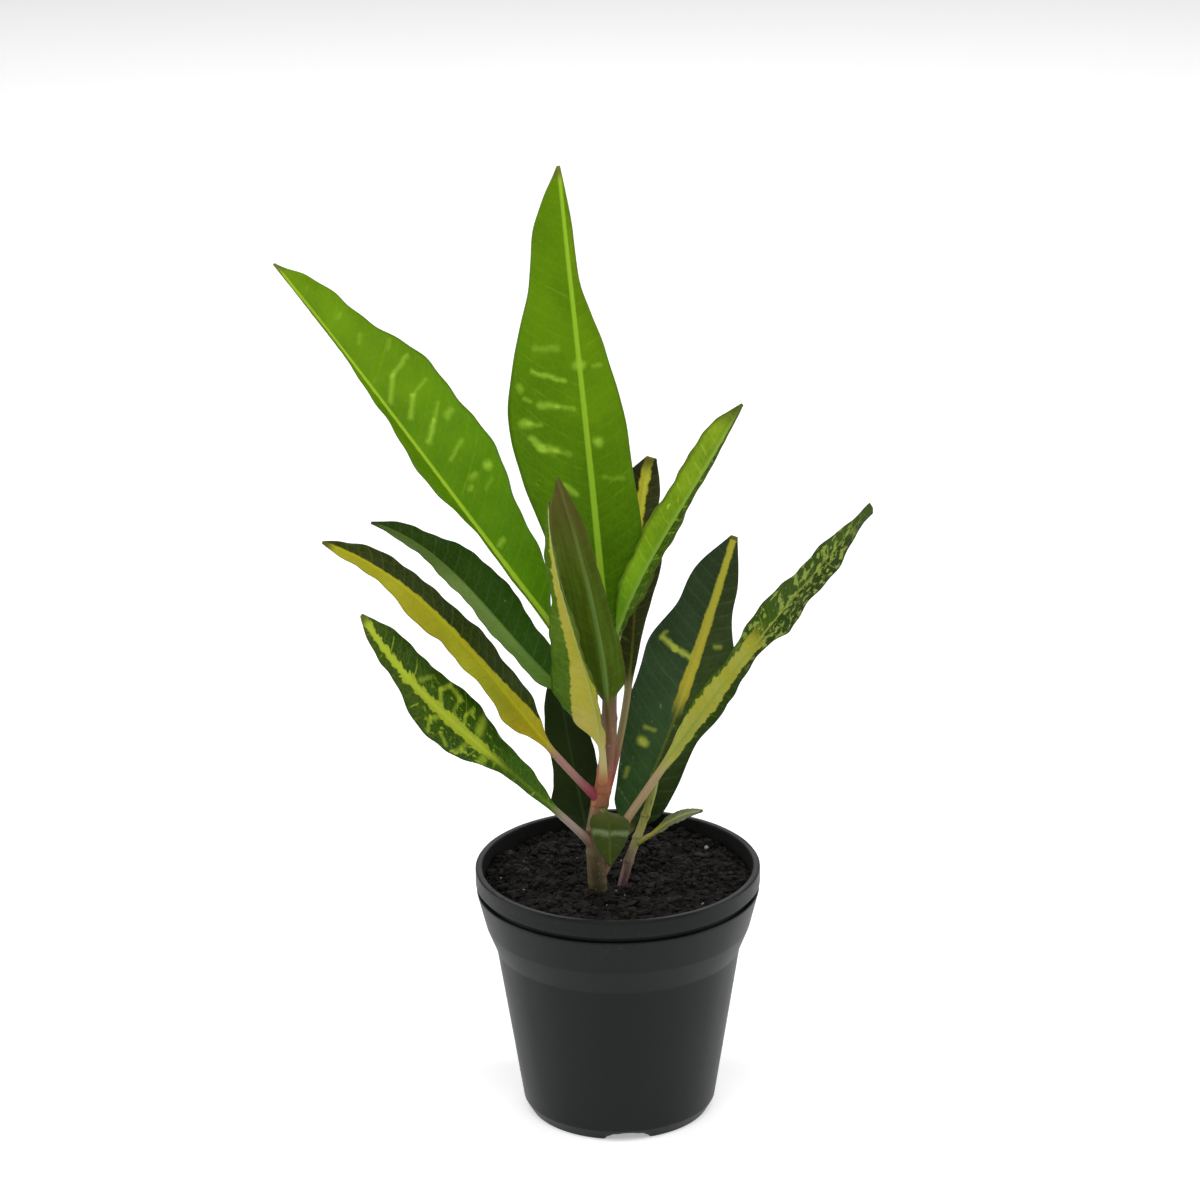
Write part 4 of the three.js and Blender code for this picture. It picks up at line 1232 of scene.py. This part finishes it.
def petiole_rings(leaf, knots, u):
    """Round rings along the midrib, thicker where the petiole leaves its stem."""
    point, face, side = leaf_axes(leaf, knots, u)
    columns = LEAF["columns"]
    turn = math.pi * (1 - (np.arange(2 * columns) + 0.5) / columns)
    foot = 1 + LEAF["foot_swell"] * np.exp(-((u / LEAF["foot_reach"]) ** 2))
    thick = LEAF["stalk_radius"] + LEAF["stalk_growth"] * np.linalg.norm(knots[3] - knots[0])
    return point[:, None] + circles(side, face, turn) * (thick * foot)[:, None, None]


def leaf_rings(leaf, settings):
    """Rings of the leaf from its root to its tip, with the numbers that its finish reads at each point."""
    knots = leaf_knots(leaf)
    total = run_length(midrib_point(knots, np.linspace(0, 1, 100)))
    length = total * (1 - leaf["stalk"])
    stalk_count = max(6, int(total * leaf["stalk"] / LEAF["step"]))
    u = np.concatenate([np.linspace(0, leaf["stalk"], stalk_count, endpoint=False),
                        np.linspace(leaf["stalk"], 1, int(length / LEAF["step"]))])
    v = np.clip((u - leaf["stalk"]) / (1 - leaf["stalk"]), 0, 1)
    spread = np.linspace(-1, 1, LEAF["columns"])
    across = np.sign(spread) * np.abs(spread) ** LEAF["crowding"]
    flat, reach = blade_rings(leaf, knots, v, across, length, settings.thickness / MM)
    opened = smooth(v / LEAF["opening"])[:, None, None]
    rings = petiole_rings(leaf, knots, u) * (1 - opened) + flat * opened
    none = 0 * reach
    upper_none = none[:, :LEAF["columns"]]
    edge = np.abs(both_faces(across[None, :], across[None, :])) + none
    share = v[:, None] + none
    stalk_share = (u[:, None] / leaf["stalk"]).clip(0, 1) + none
    petiole = 1 - smooth(v / (LEAF["petiole_colour"] * LEAF["opening"]))[:, None] + none
    return rings, {
        "blade_place": np.stack([reach, share * length, stalk_share], -1),
        "blade_share": np.stack([edge, share, petiole], -1),
        "underside": both_faces(upper_none, upper_none + 1),
    }


def stroke(across, along, start, end, width):
    """A soft stroke between two places, in millimetres across and along the blade."""
    step_across = end[0] - start[0]
    step_along = end[1] - start[1]
    out_across = across - start[0]
    out_along = along - start[1]
    length_squared = step_across ** 2 + step_along ** 2
    share = (out_across * step_across + out_along * step_along) / length_squared
    share = share.math("MAXIMUM", 0).math("MINIMUM", 1)
    gap_across = out_across - share * step_across
    gap_along = out_along - share * step_along
    gap = (gap_across * gap_across + gap_along * gap_along).math("SQRT")
    fade = 1.5 * width
    return 1 - gap.rise(0, fade)


class LeafFinish(Finish):
    """Leaf skin. Its wires say where a place is on the blade and how noise and side veins run there."""

    def __init__(self, name, look, seed):
        super().__init__(name + "_skin")
        self.look = look
        self.seed = seed
        self.across, self.along, self.stalk_share = self.split(self.attribute("blade_place"))
        self.edge, self.share, self.petiole = self.split(self.attribute("blade_share"))
        self.under = self.attribute("underside", "Fac")
        self.right = self.across.above(0)
        self.away = abs(self.across)
        flat_place = self.vector(self.across, self.along, seed * 7.31)
        self.wander = self.clouds(flat_place, 0.11) - 0.5
        self.cloud = self.clouds(flat_place, 0.055)
        self.fine = self.clouds(flat_place, 1.6, 4.0, 0.6)
        self.broken = self.clouds(flat_place, 0.3, 2.0).rise(0.42, 0.6)
        straight = self.along - self.away * VEIN["lean"]
        self.slope = straight - self.away * self.away * VEIN["bend"] + self.wander * 2.2
        self.turn = self.slope / VEIN["spacing"] + self.right * 0.5
        self.line = 1 - (abs(self.turn.fraction() - 0.5) * 2).rise(0.04, 0.26)
        net_place = self.vector(self.across * 0.5, self.slope * 0.35, seed)
        self.net = 1 - self.cells(net_place, "DISTANCE_TO_EDGE").rise(0.02, 0.12)

    def ground(self):
        """Ground colour, from the colours of each half at base, middle and tip."""
        halves = []
        for half in ("left", "right"):
            halves.append(self.ramp(list(zip((0, 0.5, 1), self.look[half])), self.share))
        return self.mix(*halves, self.right)

    def marked_veins(self):
        """The side veins that are marked, broken here and there and gone at the margin."""
        share, strength = self.look["veins"]
        number = self.turn.floor() + self.right * 57.3 + self.seed
        chosen = self.node("ShaderNodeTexWhiteNoise", {"noise_dimensions": "1D"}, {"W": number})
        marked = self.line * chosen.rise(1 - share, 1 - share + 0.15) * self.broken
        return marked * (1 - self.edge.rise(0.72, 0.95)) * strength

    def flecks(self):
        """Flecks on their stretch of the blade."""
        amount, first, last = self.look["flecks"]
        spots = self.clouds(self.vector(self.across * 0.9, self.slope * 0.5, self.seed), 0.55, 3.0, 0.6)
        level = 0.72 - 0.16 * amount
        after_last = self.share.rise(last - 0.1, last + 0.04)
        stretch = self.share.rise(first - 0.04, first + 0.08) * (1 - after_last)
        return spots.rise(level, level + 0.06) * stretch

    def band_width(self, widths):
        """Half width of the band, which runs through three values at base, middle and tip."""
        base, middle, tip = widths
        return base + (middle - base) * self.share.rise(0, 0.5) + (tip - middle) * self.share.rise(0.5, 1)

    def band(self):
        """Inside of the yellow band, with ragged edges and ends."""
        look = self.look
        teeth = self.clouds(self.vector(self.turn * 1.4, self.away * 0.12, self.seed), 1.0, 3.0, 0.7) - 0.5
        left, right = (self.band_width(widths) for widths in look["band"])
        width = left * (1 - self.right) + right * self.right
        inside = 1 - (self.away - width - teeth * 2 * look["ragged"]).rise(-0.35, 0.45)
        ends = self.share + self.wander * 0.1 + (self.fine - 0.5) * 0.06
        if look["band_from"]:
            inside = inside * ends.rise(look["band_from"] - 0.09, look["band_from"] + 0.07)
        if look["band_to"] < 1:
            inside = inside * (1 - ends.rise(look["band_to"] - 0.06, look["band_to"] + 0.06))
        return inside

    def gold(self):
        """Colour of the band, deeper in patches and towards the base."""
        deep = self.cloud.rise(0.35, 0.65) * 0.5 + (1 - self.share.rise(0, 0.3)) * 0.7
        gold = self.mix(self.look["yellow"], self.look["gold"], deep)
        shaded = self.fine.rise(0.4, 0.7) * 0.5 + self.line * 0.2
        return self.mix(gold, self.grow(gold, (0.72, 0.8, 0.7)), shaded)

    def strokes(self):
        """All strokes of the leaf, with unsteady edges."""
        across = self.across + (self.fine - 0.5) * 1.3 + self.wander * 1.2
        along = self.along + (self.broken - 0.5) * 0.5
        drawn = 0.0
        for start, end, width, strength in self.look["strokes"]:
            drawn = stroke(across, along, start, end, width) * strength + drawn
        return drawn * (0.65 + self.fine * 0.5)

    def midrib(self):
        """The coloured midrib, with its own width at base and tip."""
        wide, narrow = self.look["rib"]
        width = wide + (narrow - wide) * self.share
        midrib = 1 - (self.away - width * 0.5).rise(-0.3, 0.35)
        first = self.look["rib_from"]
        if first:
            midrib = midrib * (0.15 + 0.85 * self.share.rise(first - 0.08, first + 0.08))
        return midrib

    def underside(self, lighter, midrib):
        """Dull colour of the lower face, streaked along the blade."""
        look = self.look
        stretched = self.vector(self.across * 0.45, self.along * 0.035, self.seed * 3.7)
        streaks = self.clouds(stretched, 1.0, 3.0, 0.6)
        dull = self.mix(look["under"], lighter, streaks.rise(0.4, 0.66) * 0.45)
        dull = self.mix(dull, look["midrib"], midrib * 0.6 + self.line * 0.07)
        dull = self.mix(dull, look["margin"], self.edge.rise(0.9, 0.98) * look["edge"])
        return self.mix(dull, look["tip"], self.share.rise(0.5, 1) * (0.35 + (1 - streaks) * 0.6))


def leaf_finish(name, look, seed, settings):
    """Leaf skin with its own marking, from the ground colour out to the petiole."""
    f = LeafFinish(name, look, seed)
    ground = f.ground()
    darker = f.grow(ground, (0.62, 0.66, 0.6))
    lighter = f.grow(ground, (1.4, 1.28, 1.3))
    mottle = (f.cloud.rise(0.3, 0.72) * 0.7 + f.fine * 0.3 - 0.5) * look["cloudy"] + 0.5
    colour = f.mix(darker, lighter, mottle)
    colour = f.mix(colour, darker, f.edge.rise(0.45, 1) * 0.22)
    colour = f.mix(colour, look["pale"], f.net * look["net"] + f.line * 0.06)
    colour = f.mix(colour, look["pale"], f.marked_veins())
    if look["flecks"][0]:
        colour = f.mix(colour, look["pale"], f.flecks() * 0.8)
    if look["band"]:
        colour = f.mix(colour, f.gold(), f.band())
    if look["strokes"]:
        colour = f.mix(colour, look["stroke"], f.strokes())
    midrib = f.midrib()
    colour = f.mix(colour, look["midrib"], midrib * 0.85)
    colour = f.mix(colour, look["margin"], f.edge.rise(look["edge_from"], 0.985) * look["edge"])
    colour = f.mix(colour, look["tip"], f.share.rise(look["tip_from"], 0.99) * 0.8)
    colour = f.mix(colour, f.underside(lighter, midrib), f.under)
    petiole_share = f.stalk_share.rise(0.1, 0.75) + f.fine * 0.2 - 0.1
    colour = f.mix(colour, f.mix(look["petiole_foot"], look["petiole"], petiole_share), f.petiole)
    rough = settings.roughness + f.fine * 0.1 + f.under * 0.14 + f.cloud * 0.05
    height = (1 - f.line) * 0.35 - f.net * 0.2 + f.fine * 0.3
    return f.surface(colour, rough, settings.shine, (height, 0.5, 0.22 * MM))


# Settings that a user would change


class CrotonPotSettings(bpy.types.PropertyGroup):
    """Sizes and colour of the pot."""

    sides: bpy.props.IntProperty(name="Sides", description="Faces round the pot", default=320, min=48)
    edge_round: bpy.props.FloatProperty(
        name="Edge rounding", description="Radius of the moulded edges", default=0.6 * MM, unit="LENGTH",
        precision=5)
    wall_sway: bpy.props.FloatProperty(
        name="Wall sway", description="How far the thin wall strays from round", default=0.05 * MM,
        unit="LENGTH", precision=5)
    colour: bpy.props.FloatVectorProperty(
        name="Plastic colour", description="Colour of the moulded plastic", subtype="COLOR",
        default=linear("0c0f0f"), min=0, max=1)
    shine: bpy.props.FloatProperty(
        name="Shine", description="Strength of the reflections on the plastic", default=0.18, min=0, max=1,
        subtype="FACTOR")


class CrotonSoilSettings(bpy.types.PropertyGroup):
    """Sizes and colour of the potting soil."""

    lump_height: bpy.props.FloatProperty(
        name="Lump height", description="Height of the soil's lumps", unit="LENGTH", precision=5,
        default=SOIL["lump_height"] * MM)
    crumbs: bpy.props.IntProperty(
        name="Crumbs", description="Number of loose crumbs and chips", default=2400, min=0)
    fibres: bpy.props.IntProperty(name="Fibres", description="Number of peat fibres", default=150, min=0)
    perlite: bpy.props.IntProperty(name="Perlite", description="Number of pale grains", default=26, min=0)
    colour: bpy.props.FloatVectorProperty(
        name="Soil colour", description="Colour of the moist soil", subtype="COLOR",
        default=linear("0d0b0a"), min=0, max=1)


class CrotonLeafSettings(bpy.types.PropertyGroup):
    """Build of the leaves."""

    thickness: bpy.props.FloatProperty(
        name="Blade thickness", description="Thickness of a leaf's blade", default=0.6 * MM,
        unit="LENGTH", precision=5)
    roughness: bpy.props.FloatProperty(
        name="Roughness", description="Roughness of the leaves' waxy skin", default=0.4, min=0, max=1,
        subtype="FACTOR")
    shine: bpy.props.FloatProperty(
        name="Shine", description="Strength of the reflections on the leaves", default=0.08, min=0, max=1,
        subtype="FACTOR")


class CrotonStageSettings(bpy.types.PropertyGroup):
    """Floor, light and camera."""

    floor_colour: bpy.props.FloatVectorProperty(
        name="Floor colour", description="Colour of the pale floor", subtype="COLOR",
        default=(0.9, 0.9, 0.9), min=0, max=1)
    floor_glow: bpy.props.FloatProperty(
        name="Floor glow", description="Light that the floor adds, as a lit table does", default=0.42,
        min=0)
    light_power: bpy.props.FloatProperty(
        name="Light power", description="Power of each large soft light", default=10, min=0, unit="POWER")
    room_light: bpy.props.FloatProperty(
        name="Room light", description="Strength of the even light from all round", default=0.25, min=0)


# Operators, one for each piece or group of like pieces


class CROTON_OT_pot(bpy.types.Operator):
    """Turn the nursery pot with its collar, lip, foot notches and drain slots"""

    bl_idname = "croton.pot"
    bl_label = "Nursery pot"

    def execute(self, context):
        settings = context.scene.croton_pot
        profile = dense(pot_profile(settings), POT["outline_step"])
        rings = pot_points(profile[1:-1], settings)
        cut_drains(tube_piece("pot_shell", rings, pot_finish(settings), "pot_plastic", "pot"))
        return {"FINISHED"}


class CROTON_OT_soil(bpy.types.Operator):
    """Fill the pot with lumpy soil, crumbs, fibres and a few pale grains"""

    bl_idname = "croton.soil"
    bl_label = "Potting soil"

    def execute(self, context):
        settings = context.scene.croton_soil
        rings = soil_points(settings)
        shade = np.full(rings.shape[:2], SOIL["shade"])
        tube_piece("soil_bed", rings, soil_finish(settings), "potting_soil", "soil", shade=shade)
        chips = chip_finish()
        scatter("soil_crumbs", settings.crumbs, chips)
        scatter("soil_bark_chips", settings.crumbs // CRUMBS_PER_CHIP, chips)
        scatter("soil_perlite", settings.perlite, perlite_finish())
        fibre_strands(settings.fibres, chips)
        return {"FINISHED"}


class CROTON_OT_stems(bpy.types.Operator):
    """Grow the main stem and the thin side stem"""

    bl_idname = "croton.stems"
    bl_label = "Stems"

    def execute(self, context):
        for name, stem in STEMS.items():
            rings = stem_rings(stem)
            scar = near_scars(stem, rings[..., 2], STEM["scar_colour_reach"])
            piece = tube_piece(name + "_bark", rings, stem_finish(name, stem), "stem_skin", name, scar=scar)
            unroll(piece, *rings.shape[:2])
        return {"FINISHED"}


class CROTON_OT_leaves(bpy.types.Operator):
    """Grow every leaf with its petiole, waved blade, veins and marking"""

    bl_idname = "croton.leaves"
    bl_label = "Leaves"

    def execute(self, context):
        settings = context.scene.croton_leaf
        slots = {name: slot for slot, names in LEAF_SLOTS.items() for name in names}
        for seed, (name, leaf) in enumerate(LEAVES.items()):
            rings, numbers = leaf_rings(leaf, settings)
            skin = leaf_finish(name, {**PLAIN_LOOK, **LOOKS[name]}, seed, settings)
            piece = tube_piece(name + "_blade", rings, skin, slots[name], name, **numbers)
            unroll(piece, *rings.shape[:2])
        return {"FINISHED"}


class CROTON_OT_stage(bpy.types.Operator):
    """Lay the pale floor, hang the soft lights and set up the camera"""

    bl_idname = "croton.stage"
    bl_label = "Stage"

    def execute(self, context):
        settings = context.scene.croton_stage
        make_floor(settings)
        make_lights(settings)
        make_camera()
        context.scene.view_settings.view_transform = "Standard"
        return {"FINISHED"}


def make_floor(settings):
    """A wide pale floor, not part of the plant."""
    f = Finish("pale_floor")
    pale = settings.floor_colour
    colour = f.mix(opaque(pale), opaque(pale, 0.98), f.clouds(f.place(), 6.0))
    skin = f.surface(colour, 0.8, 0.1, glow=(opaque(pale), settings.floor_glow))
    half = FLOOR_SIZE / 2
    mesh = bpy.data.meshes.new("floor")
    corners = [(-half, -half, 0), (half, -half, 0), (half, half, 0), (-half, half, 0)]
    mesh.from_pydata(corners, [], [(0, 1, 2, 3)])
    mesh.materials.append(skin)
    floor = bpy.data.objects.new("floor", mesh)
    bpy.context.scene.collection.objects.link(floor)


def soft_light(name, light, power):
    """A rectangular soft light that faces the plant."""
    data = bpy.data.lights.new(name, "AREA")
    data.shape = "RECTANGLE"
    data.size, data.size_y = light["size"]
    data.energy = power * light["share"]
    lamp = bpy.data.objects.new(name, data)
    lamp.location = light["place"]
    lamp.rotation_euler = (Vector(LIT_POINT) - lamp.location).to_track_quat("-Z", "Y").to_euler()
    bpy.context.scene.collection.objects.link(lamp)


def make_lights(settings):
    """Two tall soft lights at the sides, one over the top and even light from all round."""
    for name, light in LIGHTS.items():
        soft_light(name, light, settings.light_power)
    world = bpy.data.worlds.new("even_light")
    world.use_nodes = True
    world.node_tree.nodes["Background"].inputs["Color"].default_value = (1, 1, 1, 1)
    world.node_tree.nodes["Background"].inputs["Strength"].default_value = settings.room_light
    bpy.context.scene.world = world


def make_camera():
    """The camera, over the pot's front and slightly turned."""
    c = CAMERA
    angle = math.radians(c["height_angle"])
    back = Vector((0, -math.cos(angle), math.sin(angle))) * c["distance"]
    place = (Vector((0, 0, c["aim_height"])) + back) * MM
    yaw, tilt, roll = (math.radians(c[key]) for key in ("yaw", "tilt", "roll"))
    ahead = Vector((-math.sin(yaw) * math.cos(tilt), math.cos(yaw) * math.cos(tilt), -math.sin(tilt)))
    right = ahead.cross(Vector((0, 0, 1))).normalized()
    up = right.cross(ahead)
    turned_right = right * math.cos(roll) + up * math.sin(roll)
    turned_up = up * math.cos(roll) - right * math.sin(roll)
    data = bpy.data.cameras.new("camera")
    data.sensor_width = c["sensor"]
    data.lens = c["sensor"] * c["distance"] / (c["pixel_size"] * c["picture"])
    data.clip_end = c["sight"] * MM
    camera = bpy.data.objects.new("camera", data)
    axes = Matrix((turned_right, turned_up, -ahead)).transposed().to_4x4()
    camera.matrix_world = Matrix.Translation(place) @ axes
    bpy.context.scene.collection.objects.link(camera)
    bpy.context.scene.camera = camera


class CROTON_PT_panel(bpy.types.Panel):
    """The plant's pieces and their settings in the sidebar."""

    bl_idname = "CROTON_PT_panel"
    bl_label = "Potted Croton"
    bl_space_type = "VIEW_3D"
    bl_region_type = "UI"
    bl_category = "Croton"

    def draw(self, context):
        for operator, group in PANEL_ROWS:
            box = self.layout.box()
            box.operator(operator.bl_idname)
            settings = getattr(context.scene, group, None)
            if settings:
                for key in settings.bl_rna.properties.keys():
                    if key not in ("rna_type", "name"):
                        box.prop(settings, key)


PANEL_ROWS = [
    (CROTON_OT_pot, "croton_pot"),
    (CROTON_OT_soil, "croton_soil"),
    (CROTON_OT_stems, ""),
    (CROTON_OT_leaves, "croton_leaf"),
    (CROTON_OT_stage, "croton_stage"),
]
GROUPS = {
    "croton_pot": CrotonPotSettings,
    "croton_soil": CrotonSoilSettings,
    "croton_leaf": CrotonLeafSettings,
    "croton_stage": CrotonStageSettings,
}


def register():
    """Adds the settings, operators and panel to Blender."""
    for name, group in GROUPS.items():
        bpy.utils.register_class(group)
        setattr(bpy.types.Scene, name, bpy.props.PointerProperty(type=group))
    for operator, _ in PANEL_ROWS:
        bpy.utils.register_class(operator)
    bpy.utils.register_class(CROTON_PT_panel)


def unregister():
    """Takes them out again."""
    bpy.utils.unregister_class(CROTON_PT_panel)
    for operator, _ in reversed(PANEL_ROWS):
        bpy.utils.unregister_class(operator)
    for name, group in GROUPS.items():
        delattr(bpy.types.Scene, name)
        bpy.utils.unregister_class(group)


def main():
    """Builds the plant and its stage."""
    register()
    bpy.ops.croton.pot()
    bpy.ops.croton.soil()
    bpy.ops.croton.stems()
    bpy.ops.croton.leaves()
    bpy.ops.croton.stage()


if __name__ == "__main__":
    main()
